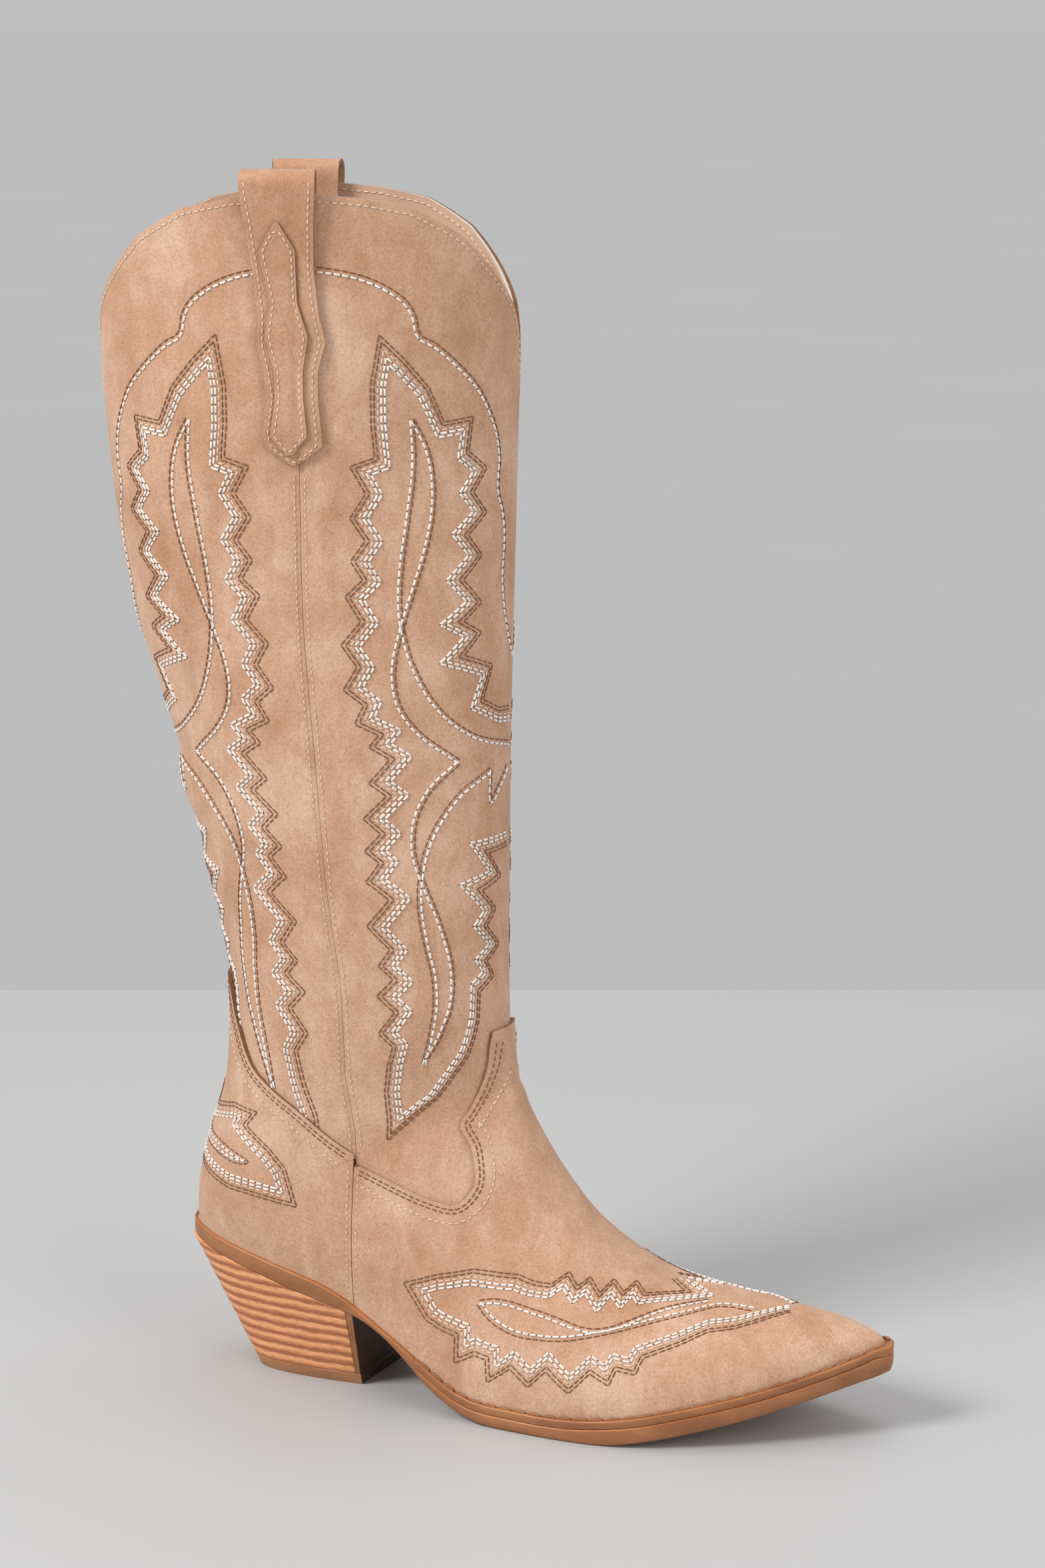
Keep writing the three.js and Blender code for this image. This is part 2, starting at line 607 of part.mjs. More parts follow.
function heelEdge(side, k, inset) {
  const column = side < 0 ? 0 : 1;
  const share = k / HEEL_POINTS;
  const rows = SECTIONS.slice(HEEL_SEAT).map((_, i) => lastPoint(HEEL_SEAT + i, 0, side));
  const curve = rows.map((p) => [p.x, Math.abs(p.y)]);
  const back = rows[0].x - SOLE_LEDGE[0][1] + 0.4 + inset;
  const front = HEEL_BREAST_TOP[column] - inset;
  const x = back + (front - back) * (1 - Math.cos((share * Math.PI) / 2)) ** 1.15;
  const lastX = mix(rows[0].x, front + inset, (x - back) / (front - back));
  const ledge = k === 0 ? 0 : SOLE_LEDGE[0][1] - 0.4 - inset;
  const top = [x, side * (k === 0 ? 0 : readCurve(curve, lastX) + ledge)];
  const turn = (share * Math.PI) / 2;
  const floorBack = HEEL_BACK_FLOOR + inset;
  const floorFront = HEEL_BREAST_FLOOR[column] - inset;
  const round = 0.62;
  const reach = clamp(1 - Math.cos(turn), 0, 1) ** 1.1;
  const floor = [mix(floorBack, floorFront, reach),
    side * (HEEL_HALF_WIDTH_FLOOR - inset) * Math.sin(turn) ** round];
  return { top, floor };
}

// The foot and head loops of the block. The foot is level and the head follows the outsole.
function heelLoops(inset, zLow, topGap) {
  const edge = [];
  for (let k = 0; k <= HEEL_POINTS; k += 1) edge.push(heelEdge(-1, k, inset));
  for (let k = HEEL_POINTS; k > 0; k -= 1) edge.push(heelEdge(1, k, inset));
  const zTop = ({ top }) => readCurve(SOLE_UNDERSIDE, top[0]) - topGap;
  const foot = edge.map(({ top, floor }) => {
    const share = zLow / zTop({ top });
    return new THREE.Vector3(mix(floor[0], top[0], share), mix(floor[1], top[1], share), zLow);
  });
  const head = edge.map(({ top }) => new THREE.Vector3(top[0], top[1], zTop({ top })));
  return { foot, head };
}

// The block filled between its two loops, with strips across it to close the foot and the head.
function heelSolid(inset, zLow, topGap) {
  const { foot, head } = heelLoops(inset, zLow, topGap);
  const n = foot.length;
  const faces = [];
  for (let i = 0; i < n; i += 1) {
    const j = (i + 1) % n;
    faces.push([foot[i], foot[j], head[j], head[i]]);
  }
  for (let i = 0; i < (n - 1) / 2; i += 1) {
    const [a, b] = [i, i + 1];
    const [c, d] = [(n - i - 1) % n, (n - i) % n];
    faces.push([head[a], head[b], head[c], head[d]]);
    faces.push([foot[a], foot[d], foot[c], foot[b]]);
  }
  return solidFromFaces(faces);
}

const BORDER = 3;                 // moulded edge left bare at the breast of the heel
const heelBreastSide = (gap) => prismAlongY([[HEEL_BREAST_FLOOR[0] - BORDER + gap, -1],
  [120, -1], [120, 60], [HEEL_BREAST_TOP[0] - BORDER + gap, 60]]);

const heelStack = () => heelSolid(0, LIFT + GAP, GAP)
  .subtract(heelSolid(WRAP, 0, 0))
  .subtract(heelBreastSide(0));

const heelBlock = () => heelSolid(0, LIFT + GAP, GAP)
  .subtract(heelSolid(-1, 0, 0)
    .subtract(heelSolid(WRAP + GAP, 0, 0))
    .subtract(heelBreastSide(GAP)))
  .subtract(heelFixingHoles());

const topLift = () => heelSolid(0, 0, GAP)
  .subtract(prismAlongY([[-20, LIFT], [100, LIFT], [100, 80], [-20, 80]]))
  .subtract(nailHoles());

// One screw up through the block and four nails that hold the top lift.
const SCREW_RADIUS = 2.2;
const NAIL_RADIUS = 1;
const NAILS = [[38, -7], [38, 7], [64, -10], [64, 10]];
const NAIL_TOP = 16;
const SCREW_AT = [50, 0];
const SCREW_SPAN = [12, 36];

function uprightPin([x, y], radius, low, high, sides) {
  const pin = new THREE.CylinderGeometry(radius, radius, high - low, sides);
  pin.rotateX(Math.PI / 2);
  pin.translate(x, y, (low + high) / 2);
  return solidFromGeometry(pin);
}

const heelScrew = () => uprightPin(SCREW_AT, SCREW_RADIUS, ...SCREW_SPAN, 12)
  .add(uprightPin(SCREW_AT, 2 * SCREW_RADIUS, SCREW_SPAN[0], SCREW_SPAN[0] + 2, 12));
const liftNail = (place) => uprightPin(place, NAIL_RADIUS, 1.2, NAIL_TOP, 8)
  .add(uprightPin(place, 2 * NAIL_RADIUS, 1.2, 2.2, 8));
const nailHoles = () => NAILS.map((place) => uprightPin(place, 2 * NAIL_RADIUS + GAP, 0.9, 2.5, 8)
  .add(uprightPin(place, NAIL_RADIUS + GAP, 0.9, LIFT + 2, 8)))
  .reduce((all, hole) => all.add(hole));
const heelFixingHoles = () => NAILS
  .map((place) => uprightPin(place, NAIL_RADIUS + GAP, 0, NAIL_TOP + GAP, 8))
  .reduce((all, hole) => all.add(hole))
  .add(uprightPin(SCREW_AT, SCREW_RADIUS + GAP, 0, SCREW_SPAN[1] + GAP, 12))
  .add(uprightPin(SCREW_AT, 2 * SCREW_RADIUS + GAP, 0, SCREW_SPAN[0] + 2 + GAP, 12));

// ---------------------------------------------------------------- materials and assembly

const finish = (color, roughness, metalness = 0) => ({ color, roughness, metalness });
const FINISHES = {
  suede: finish(0xc29a73, 0.95),
  lining: finish(0xd9b79c, 0.7),
  cloth: finish(0xf0ece4, 0.95),
  board: finish(0x9a8468, 0.85),
  sole: finish(0xb27444, 0.55),
  stack: finish(0xd08b56, 0.6),
  lift: finish(0x8a6440, 0.6),
  foam: finish(0xb8a58c, 0.9),
  steel: finish(0x9da0a3, 0.35, 1),
};

const boot = new THREE.Group();

function addPiece(name, finishName, solid) {
  const piece = new THREE.Mesh(geometryFromSolid(solid), new THREE.MeshStandardMaterial(FINISHES[finishName]));
  piece.name = name;
  boot.add(piece);
}

addPiece('shaft_front', 'suede', shaftFront());
addPiece('shaft_back', 'suede', shaftBack());
addPiece('vamp', 'suede', vamp());
addPiece('counter', 'suede', counter());
addPiece('shaft_lining_front', 'lining', shaftLining(FRONT_HALF));
addPiece('shaft_lining_back', 'lining', shaftLining(BACK_HALF));
addPiece('vamp_lining', 'lining', vampLining());
addPiece('heel_lining', 'lining', heelLining());
addPiece('toe_puff', 'board', toePuff());
addPiece('heel_stiffener', 'board', heelStiffener());
addPiece('edge_backing_front', 'cloth', edgeBacking([0.5 + SEAM_TAPE_SHARE + 2 * SEAM_SHARE, 1]));
addPiece('edge_backing_back', 'cloth', edgeBacking([0, 0.5 - SEAM_TAPE_SHARE - 2 * SEAM_SHARE]));
for (const [label, side] of [['outer', -1], ['inner', 1]]) {
  addPiece(`seam_tape_${label}`, 'cloth', seamTape(side));
  addPiece(`pull_strap_${label}`, 'suede', strip(STRAP_ROWS, side, STRAP, 4));
  addPiece(`strap_overlay_${label}`, 'suede', strip(OVERLAY_ROWS, side, OVERLAY, 2));
}
addPiece('sock_liner', 'lining', sockLiner());
addPiece('insole_board', 'board', insoleBoard());
addPiece('bottom_filler', 'foam', filler());
addPiece('shank', 'steel', shank());
RIVETS.forEach((x, i) => addPiece(`shank_rivet_${i + 1}`, 'steel', shankRivet(x)));
addPiece('welt', 'sole', welt());
addPiece('outsole', 'sole', outsole());
addPiece('heel_block', 'lift', heelBlock());
addPiece('heel_stack', 'stack', heelStack());
addPiece('top_lift', 'lift', topLift());
addPiece('heel_screw', 'steel', heelScrew());
NAILS.forEach((place, i) => addPiece(`lift_nail_${i + 1}`, 'steel', liftNail(place)));

// The origin is on the floor, below the middle of the boot's box.
const box = new THREE.Box3().setFromObject(boot);
const middle = box.getCenter(new THREE.Vector3());
boot.position.set(-middle.x, -middle.y, -box.min.z);

export default boot;
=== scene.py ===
# The looks of a pull-on cowboy boot in tan suede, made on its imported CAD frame.
# Shapes are worked out in millimetres in the maker's frame: x from the back of the heel to the toe,
# y to the inner side of the foot, z up from the floor. place() moves them to the row frame in metres.

import math
from collections import defaultdict

import bpy
import numpy as np
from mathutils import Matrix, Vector
from mathutils.bvhtree import BVHTree


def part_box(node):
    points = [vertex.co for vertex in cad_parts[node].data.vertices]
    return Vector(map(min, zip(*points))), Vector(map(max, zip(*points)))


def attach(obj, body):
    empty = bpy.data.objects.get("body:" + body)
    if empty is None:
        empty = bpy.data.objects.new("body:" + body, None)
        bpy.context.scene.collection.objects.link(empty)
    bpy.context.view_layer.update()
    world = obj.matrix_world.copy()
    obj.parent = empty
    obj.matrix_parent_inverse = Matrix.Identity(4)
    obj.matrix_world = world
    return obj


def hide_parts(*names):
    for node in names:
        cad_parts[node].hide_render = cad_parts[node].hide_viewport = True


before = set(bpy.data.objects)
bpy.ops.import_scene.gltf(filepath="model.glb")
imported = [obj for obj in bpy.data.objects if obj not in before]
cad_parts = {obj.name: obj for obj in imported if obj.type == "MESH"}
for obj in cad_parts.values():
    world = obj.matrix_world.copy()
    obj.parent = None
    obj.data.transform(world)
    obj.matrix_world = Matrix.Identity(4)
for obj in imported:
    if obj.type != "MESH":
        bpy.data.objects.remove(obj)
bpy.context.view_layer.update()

MM = 0.001
SHANK_START = 30                  # x of the shank's back end, which ties the two frames together
shank_low, shank_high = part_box("shank")
ORIGIN = np.array([shank_low[0] / MM - SHANK_START, (shank_low[1] + shank_high[1]) / 2 / MM, 0])


def place(points):
    return (np.asarray(points) + ORIGIN) * MM


# ---- the last, as in the CAD

# Front point x and z, back (or sole edge) point x and z, half width outer and inner, opening angle at
# the sole in degrees, and how far the section is egg-shaped.
SECTIONS = np.array([
    [127.5, 462, -27, 462, 46.5, 46.5, 0, 0],
    [127.5, 400, -27, 400, 46, 46, 0, 0],
    [126.5, 350, -24, 350, 45.3, 45.3, 0, 0],
    [125.5, 300, -17, 300, 44, 44, 0, 0],
    [125, 250, -3, 250, 42, 42, 0, 0],
    [125.5, 200, 8, 200, 39.5, 39.5, 0, 0],
    [125.5, 165, 16.5, 165, 37.5, 37.5, 0, 0.02],
    [126, 146, 18, 140, 36.3, 36.3, 0, 0.05],
    [127, 137, 16.5, 115, 34.5, 34.5, 0, 0.12],
    [127.8, 129.5, 9.5, 92, 32.8, 32.8, 0, 0.2],
    [128.5, 125, 4.8, 74, 32, 32, 0, 0.25],
    [129.2, 120.3, 3.8, 58.3, 31.7, 31.7, 0, 0.25],
    [129.6, 119.3, 5.2, 57.9, 31.6, 31.6, 14, 0.25],
    [130.3, 117.9, 12, 56.3, 31.6, 31.6, 27, 0.25],
    [131.5, 115.4, 25, 53.2, 31.7, 31.7, 40, 0.22],
    [133.3, 110, 45, 48.2, 32.2, 32.2, 50, 0.19],
    [137.5, 101.4, 70, 40.7, 33, 33, 57, 0.16],
    [145.8, 87.8, 97, 24.2, 34.8, 33.8, 64, 0.15],
    [155.3, 75.1, 122, 10, 39.3, 36.3, 70, 0.15],
    [164, 66, 145, 8, 43.3, 39.3, 73, 0.15],
    [175.7, 56.9, 168, 8.4, 45.8, 40.8, 75, 0.15],
    [189.5, 50.3, 190, 11.2, 44.8, 38.8, 76, 0.15],
    [209.8, 46.2, 210, 15.5, 39.3, 32.8, 77, 0.15],
    [227.8, 44.1, 228, 19.7, 31.8, 25.8, 78, 0.14],
    [242.6, 42.3, 242.6, 23.6, 23.8, 19.3, 78, 0.12],
    [254.2, 40.3, 254.2, 27.3, 16.3, 13.8, 79, 0.1],
    [263.2, 37.9, 263, 30.2, 9.6, 8.8, 80, 0.05],
    [269.2, 35.6, 269, 32.4, 4.4, 4.4, 80, 0],
    [271.5, 34.3, 271.5, 33.9, 0, 0, 80, 0],
])
TOE = len(SECTIONS) - 1
HEEL_SEAT = 11
SHAFT_TWIST = 0.275
TWIST_FROM, TWIST_TO = 120, 380
SIDE_SEAM = [[4, 5, 6, 8, 9, 10, 11, 12, 13, 14, 15, 16, 17, 18],
             [0.5, 0.503, 0.512, 0.515, 0.54, 0.554, 0.555, 0.516, 0.471, 0.406, 0.377, 0.423, 0.47, 0.5]]
TOP_LINE = [[0, 0.2, 0.36, 0.54, 0.7, 0.86, 0.95, 1], [450.5, 448.5, 445, 435.5, 422.5, 409.5, 398, 381]]
FOOT_SEAM_X = 76.8

SUEDE = 1.4
FOOT_SKIN = 1.7                   # distance of the outside of vamp and counter from the last
LINING_SKIN = -2.6                # distance of the outside of the lining

# Height of each row where it meets the side seam, from the top of the shaft to the heel seat.
ROW_HEIGHTS = [462, 400, 350, 300, 250, 200, 165, 143, 126, 110.75, 99.5, 89.3]


def smooth_step(low, high, value):
    t = np.clip((value - low) / (high - low), 0, 1)
    return t * t * (3 - 2 * t)


def catmull_rom(p0, p1, p2, p3, t):
    return 0.5 * (2 * p1 + (p2 - p0) * t + (2 * p0 - 5 * p1 + 4 * p2 - p3) * t**2
                  + (3 * p1 - p0 - 3 * p2 + p3) * t**3)


def unit(vectors):
    return vectors / np.maximum(np.linalg.norm(vectors, axis=-1, keepdims=True), 1e-9)


def section(u):
    """SECTIONS read at places u, on a smooth curve through its rows."""
    i = np.clip(np.floor(u).astype(int), 0, TOE - 1)
    p1, p2 = SECTIONS[i], SECTIONS[i + 1]
    p0 = np.where(i[:, None] > 0, SECTIONS[np.maximum(i - 1, 0)], 2 * p1 - p2)
    p3 = np.where(i[:, None] < TOE - 1, SECTIONS[np.minimum(i + 2, TOE)], 2 * p2 - p1)
    return catmull_rom(p0, p1, p2, p3, (u - i)[:, None])


def last_point(u, s, side):
    """Points of the last. s runs from 0 at the back or the sole edge to 1 at the front."""
    over = s > 1
    under = (s < 0) & (u <= HEEL_SEAT)
    side = np.where(over | under, -side, side)
    s = np.where(over, 2 - s, np.where(under, -s, np.maximum(s, 0)))
    front_x, front_z, back_x, back_z, outer, inner, opening, egg = section(u).T
    start = np.radians(np.clip(opening, 0, 90))
    angle = start + (math.pi - start) * s
    along = (np.cos(start) - np.cos(angle)) / (1 + np.cos(start))
    half = np.maximum(np.where(side < 0, outer, inner), 0)
    y = side * half * np.sin(angle) * (1 + np.clip(egg, 0, 1) * np.cos(angle))
    x = back_x + (front_x - back_x) * along
    z = back_z + (front_z - back_z) * along
    centre = (front_x + back_x) / 2
    turn = SHAFT_TWIST * smooth_step(TWIST_FROM, TWIST_TO, z)
    return np.stack([centre + (x - centre) * np.cos(turn) - y * np.sin(turn),
                     (x - centre) * np.sin(turn) + y * np.cos(turn), z], axis=1)


def last_normal(u, s, side):
    step = 0.004
    around = last_point(u, s + step, side) - last_point(u, s - step, side)
    down = last_point(np.minimum(u + step, TOE), s, side) - last_point(np.maximum(u - step, 0), s, side)
    return unit(np.cross(around, down) * side[:, None])


def seam_share(u):
    return np.interp(u, *SIDE_SEAM)


def half_girth(u):
    """Length round the section, from back to front, that one unit of s stands for on the shaft."""
    rows = section(u)
    return math.pi / 2 * (rows[:, 0] - rows[:, 2])


def drape(u, s, side):
    """How far the leather stands out from the last: slow waves, folds above the ankle, a pressed seam."""
    height = np.interp(u, range(len(ROW_HEIGHTS)), ROW_HEIGHTS)
    from_seam = (s - seam_share(u)) * half_girth(u)
    shaft = 1 - smooth_step(8, 11, u)
    off_centre = np.sin(math.pi * np.clip(s, 0, 1))
    waves = 0.7 * np.sin(height / 31 + side + 0.9) * np.sin(from_seam / 27 + 0.6)
    waves += 0.35 * np.sin(height / 17 - from_seam / 33 + 2 * side)
    folds = np.exp(-((height - 212) / 50) ** 2) * np.clip(1 - 2.4 * s, 0, 1)
    folds = folds * 1.9 * np.sin(height / 6.4 + 4 * s) * np.sin(height / 23 + 1)
    flare = 3.5 * (1 - smooth_step(0, 2, u)) * np.sin(math.pi * np.clip(s / 0.3, 0, 1)) * (side > 0)
    ankle = 0.9 * np.exp(-((height - 152) / 16) ** 2) * np.sin(from_seam / 12 + 1.5 * side)
    seam = -0.75 * np.exp(-(from_seam / 1.3) ** 2) * (1 - smooth_step(11, 12.5, u))
    forefoot = smooth_step(16, 19, u) * (1 - smooth_step(24, 27, u))
    toe_waves = 0.3 * forefoot * np.sin(6 * s + 2.3 * u + side)
    return shaft * (off_centre * (waves + ankle) + folds + flare) + seam + off_centre * toe_waves


def surface(u, s, side, distance):
    """Points at a distance outside the last, and the directions that face out there."""
    u, s, side, distance = np.broadcast_arrays(*(np.atleast_1d(np.asarray(v, float))
                                                 for v in (u, s, side, distance)))
    normal = last_normal(u, s, side)
    tip = u > TOE - 1e-3
    normal[tip] = [1, 0, 0]
    squeeze = np.where(distance < 0, np.clip(section(u)[:, 4] / 9, 0.12, 1), 1)
    stand = distance * squeeze + drape(u, s, side) * np.where(tip, 0, 1)
    points = last_point(np.where(tip, TOE, u), np.where(tip, 1, s), side) + normal * stand[:, None]
    return points, normal


def row_at(height):
    return np.interp(-np.asarray(height, float), [-h for h in ROW_HEIGHTS], range(len(ROW_HEIGHTS)))


def on_shaft(along, height, side, distance=0.0):
    """Surface points from millimetres along from the side seam, front positive, and row height."""
    u = row_at(height)
    s = seam_share(u) + np.asarray(along, float) / half_girth(u)
    return surface(u, np.clip(s, 0, 1), np.full(len(u), side), distance)


SEAT_LINE = section(np.linspace(HEEL_SEAT, TOE, 60))[:, 2:4]


def seat_height(x):
    """Height of the top of the sole."""
    return np.interp(x, SEAT_LINE[:, 0], SEAT_LINE[:, 1])


# ---- lines and meshes

def smooth_line(points, steps=6):
    """Catmull-Rom curve through a list of points."""
    points = np.asarray(points, float)
    ends = np.vstack([2 * points[0] - points[1], points, 2 * points[-1] - points[-2]])
    curve = [catmull_rom(*four, t) for four in zip(ends, ends[1:], ends[2:], ends[3:])
             for t in np.arange(steps) / steps]
    return np.array(curve + [points[-1]])


def run_length(points):
    """Length along a line of points, at each of them."""
    return np.r_[0, np.cumsum(np.linalg.norm(np.diff(points, axis=0), axis=1))]


def read_at(places, known, points):
    """Points of a line at places, where known are the places of its own points."""
    return np.stack([np.interp(places, known, column) for column in points.T], axis=-1)


def grid_faces(rows, columns, flip=False, start=0, close=None):
    """Quads of a grid of points. close says whether its last rows or columns join the first."""
    faces = []
    for i in range(rows - (close != "rows")):
        for j in range(columns - (close != "columns")):
            a, b = (start + row % rows * columns for row in (i, i + 1))
            k = (j + 1) % columns
            face = (a + j, a + k, b + k, b + j)
            faces.append(face[::-1] if flip else face)
    return faces


def cap_faces(start, count, flip, apex):
    """Quads across a ring of points. apex is 1 where its first point is alone on the centre line."""
    faces = []
    for i in range((count - apex) // 2):
        across = (i, i + 1, (count - 2 + apex - i) % count, (count - 1 + apex - i) % count)
        face = [start + v for v in dict.fromkeys(across)]
        faces.append(tuple(face[::-1] if flip else face))
    return faces


def both_sides(grid_u, grid_s, distance, flip=False):
    """A sheet on both sides of the boot, from grids of places u and s."""
    points = [surface(grid_u.ravel(), grid_s.ravel(), side, distance)[0] for side in (-1, 1)]
    rows, columns = grid_u.shape
    faces = grid_faces(rows, columns, not flip) + grid_faces(rows, columns, flip, rows * columns)
    return np.vstack(points), faces


def keep_inside(sheet, field):
    """The part of a sheet where field is positive, cut cleanly along field = 0."""
    points, faces = list(sheet[0]), sheet[1]
    cut = {}

    def crossing(a, b):
        key = (min(a, b), max(a, b))
        if key not in cut:
            t = field[a] / (field[a] - field[b])
            points.append(points[a] + (points[b] - points[a]) * t)
            cut[key] = len(points) - 1
        return cut[key]

    kept = []
    for face in faces:
        signs = [field[i] > 0 for i in face]
        if all(signs):
            kept.append(face)
        elif any(signs):
            ring = []
            for k, i in enumerate(face):
                j = face[(k + 1) % len(face)]
                if signs[k]:
                    ring.append(i)
                if signs[k] != (field[j] > 0):
                    ring.append(crossing(i, j))
            kept.append(ring)
    return np.array(points), kept


def trim(sheet, outline):
    """The part of a sheet inside an outline of x and z."""
    x, z = sheet[0][:, 0], sheet[0][:, 2]
    inside = np.zeros(len(x), bool)
    nearest = np.full(len(x), np.inf)
    for (x0, z0), (x1, z1) in zip(outline, np.roll(outline, -1, axis=0)):
        t = np.clip(((x - x0) * (x1 - x0) + (z - z0) * (z1 - z0)) / ((x1 - x0) ** 2 + (z1 - z0) ** 2), 0, 1)
        nearest = np.minimum(nearest, np.hypot(x - x0 - t * (x1 - x0), z - z0 - t * (z1 - z0)))
        if z0 != z1:
            inside ^= ((z0 > z) != (z1 > z)) & (x < x0 + (x1 - x0) * (z - z0) / (z1 - z0))
    return keep_inside(sheet, np.where(inside, nearest, -nearest))


def add_object(name, data):
    item = bpy.data.objects.new(name, data)
    bpy.context.scene.collection.objects.link(item)
    return item


def make_piece(name, sheet, materials, node=None, sharp=40, second=None):
    """A mesh piece on the boot's one body. second marks the faces that have the second material."""
    points, faces = sheet
    mesh = bpy.data.meshes.new(name)
    mesh.from_pydata(place(points).tolist(), [], [tuple(face) for face in faces])
    if second:
        mesh.polygons.foreach_set("material_index", [int(value) for value in second])
    for material in materials:
        mesh.materials.append(material)
    mesh.validate()
    mesh.polygons.foreach_set("use_smooth", [True] * len(mesh.polygons))
    mesh.set_sharp_from_angle(angle=math.radians(sharp))
    piece = add_object(name, mesh)
    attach(piece, "root")
    if node:
        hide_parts(node)
    return piece


def thicken(piece, thickness, offset=-1.0, edge=0.3, rim=None):
    """Gives a sheet its thickness and rounded edges, with a material of their own if rim is given."""
    solid = piece.modifiers.new("thickness", "SOLIDIFY")
    solid.thickness = thickness * MM
    solid.offset = offset
    if rim:
        piece.data.materials.append(rim)
        solid.material_offset_rim = 1
    round_edge = piece.modifiers.new("rounded edge", "BEVEL")
    round_edge.width = edge * MM
    round_edge.segments = 2
    round_edge.limit_method = "ANGLE"
    round_edge.angle_limit = math.radians(55)
    round_edge.harden_normals = True


def panel_piece(name, sheet, material, node, thickness, edge=0.3, rim=None):
    """A panel whose two halves are joined at the centre lines, thickened inwards."""
    piece = make_piece(name, sheet, [material], node)
    weld = piece.modifiers.new("weld", "WELD")
    weld.merge_threshold = 0.02 * MM
    thicken(piece, thickness, edge=edge, rim=rim)


# ---- materials

class Shader:
    """A principled material with short ways to add its nodes."""

    def __init__(self, name, **constants):
        self.material = bpy.data.materials.new(name)
        self.material.use_nodes = True
        self.nodes = self.material.node_tree.nodes
        self.links = self.material.node_tree.links
        self.place = self.nodes.new("ShaderNodeTexCoord").outputs["Object"]
        for key, value in constants.items():
            self.socket(key).default_value = value

    def socket(self, key):
        """An input of the principled shader, by its name in small letters with underscores."""
        name = key.replace("_", " ").title().replace("Ior", "IOR")
        return self.nodes["Principled BSDF"].inputs[name]

    def join(self, value, socket):
        if isinstance(value, bpy.types.NodeSocket):
            self.links.new(value, socket)
        else:
            socket.default_value = value

    def noise(self, size, detail=3.0, roughness=0.5, vector=None, distortion=0.0):
        """Noise whose blobs are about size millimetres across."""
        node = self.nodes.new("ShaderNodeTexNoise")
        node.inputs["Scale"].default_value = 1 / (size * MM)
        node.inputs["Detail"].default_value = detail
        node.inputs["Roughness"].default_value = roughness
        node.inputs["Distortion"].default_value = distortion
        self.links.new(vector or self.place, node.inputs["Vector"])
        return node.outputs["Fac"]

    def stretched(self, x, y, z):
        node = self.nodes.new("ShaderNodeMapping")
        node.inputs["Scale"].default_value = (x, y, z)
        self.links.new(self.place, node.inputs["Vector"])
        return node.outputs["Vector"]

    def math(self, operation, a, b=0.0):
        node = self.nodes.new("ShaderNodeMath")
        node.operation = operation
        self.join(a, node.inputs[0])
        self.join(b, node.inputs[1])
        return node.outputs[0]

    def ramp(self, value, stops):
        node = self.nodes.new("ShaderNodeValToRGB")
        elements = node.color_ramp.elements
        while len(elements) < len(stops):
            elements.new(0.5)
        for element, (position, color) in zip(elements, stops):
            element.position = position
            element.color = (*color, 1)
        self.links.new(value, node.inputs[0])
        return node.outputs["Color"]

    def mix(self, factor, a, b, blend="MIX"):
        node = self.nodes.new("ShaderNodeMix")
        node.data_type = "RGBA"
        node.blend_type = blend
        self.join(factor, node.inputs[0])
        self.links.new(a, node.inputs[6])
        self.links.new(b, node.inputs[7])
        return node.outputs[2]

    def bump(self, height, distance, strength=1.0, below=None):
        node = self.nodes.new("ShaderNodeBump")
        node.inputs["Distance"].default_value = distance * MM
        node.inputs["Strength"].default_value = strength
        self.links.new(height, node.inputs["Height"])
        if below:
            self.links.new(below, node.inputs["Normal"])
        return node.outputs["Normal"]

    def done(self, **linked):
        for key, value in linked.items():
            self.links.new(value, self.socket(key))
        return self.material


def darker(color, share):
    return tuple(share * c for c in color)


def suede_material(name, light, middle, dark):
    """Brushed nap: broad blotches where it lies one way or the other, and a fine speckle of fibres."""
    shader = Shader(name, roughness=0.92, sheen_weight=0.3, sheen_roughness=0.4, specular_ior_level=0.12,
                    sheen_tint=(1, 0.88, 0.78, 1))
    brushed = shader.noise(42, 4, 0.6, distortion=0.5)
    smudges = shader.noise(11, 5, 0.68, vector=shader.stretched(1, 1, 0.5), distortion=0.5)
    broad = shader.ramp(shader.mix(0.45, brushed, smudges), [(0.36, dark), (0.5, middle), (0.62, light)])
    nap = shader.noise(0.9, 4, 0.8)
    fibre = shader.noise(0.4, 3, 0.85, vector=shader.stretched(0.8, 0.8, 1.6))
    grain = shader.mix(0.5, nap, fibre)
    speckle = shader.ramp(grain, [(0.38, (0.7, 0.64, 0.58)), (0.5, (1, 1, 1)), (0.62, (1.16, 1.16, 1.16))])
    color = shader.mix(1.0, broad, speckle, "MULTIPLY")
    dents = shader.bump(shader.noise(5, 3, 0.6), 0.5, 0.4)
    return shader.done(base_color=color, normal=shader.bump(grain, 0.4, 0.9, dents))


def thread_material(name, color):
    shader = Shader(name, roughness=0.55, sheen_weight=0.2, specular_ior_level=0.35)
    twist = shader.noise(0.25, 2, 0.6)
    tone = shader.ramp(shader.noise(6, 2, 0.5), [(0.35, darker(color, 0.86)), (0.65, color)])
    return shader.done(base_color=tone, normal=shader.bump(twist, 0.08, 0.6))


def leather_material(name, light, dark):
    shader = Shader(name, roughness=0.55, specular_ior_level=0.35)
    tone = shader.ramp(shader.noise(22, 4, 0.6), [(0.35, dark), (0.65, light)])
    creases = shader.noise(2.6, 5, 0.65, distortion=1.2)
    pores = shader.noise(0.6, 2, 0.6)
    bump = shader.bump(pores, 0.06, 0.5, shader.bump(creases, 0.25, 0.35))
    return shader.done(base_color=tone, normal=bump)


def fleece_material(name, color):
    shader = Shader(name, roughness=0.95, sheen_weight=0.4, specular_ior_level=0.1)
    fluff = shader.noise(0.5, 4, 0.8)
    tone = shader.ramp(fluff, [(0.3, darker(color, 0.75)), (0.6, color)])
    return shader.done(base_color=tone, normal=shader.bump(fluff, 0.4, 0.9))


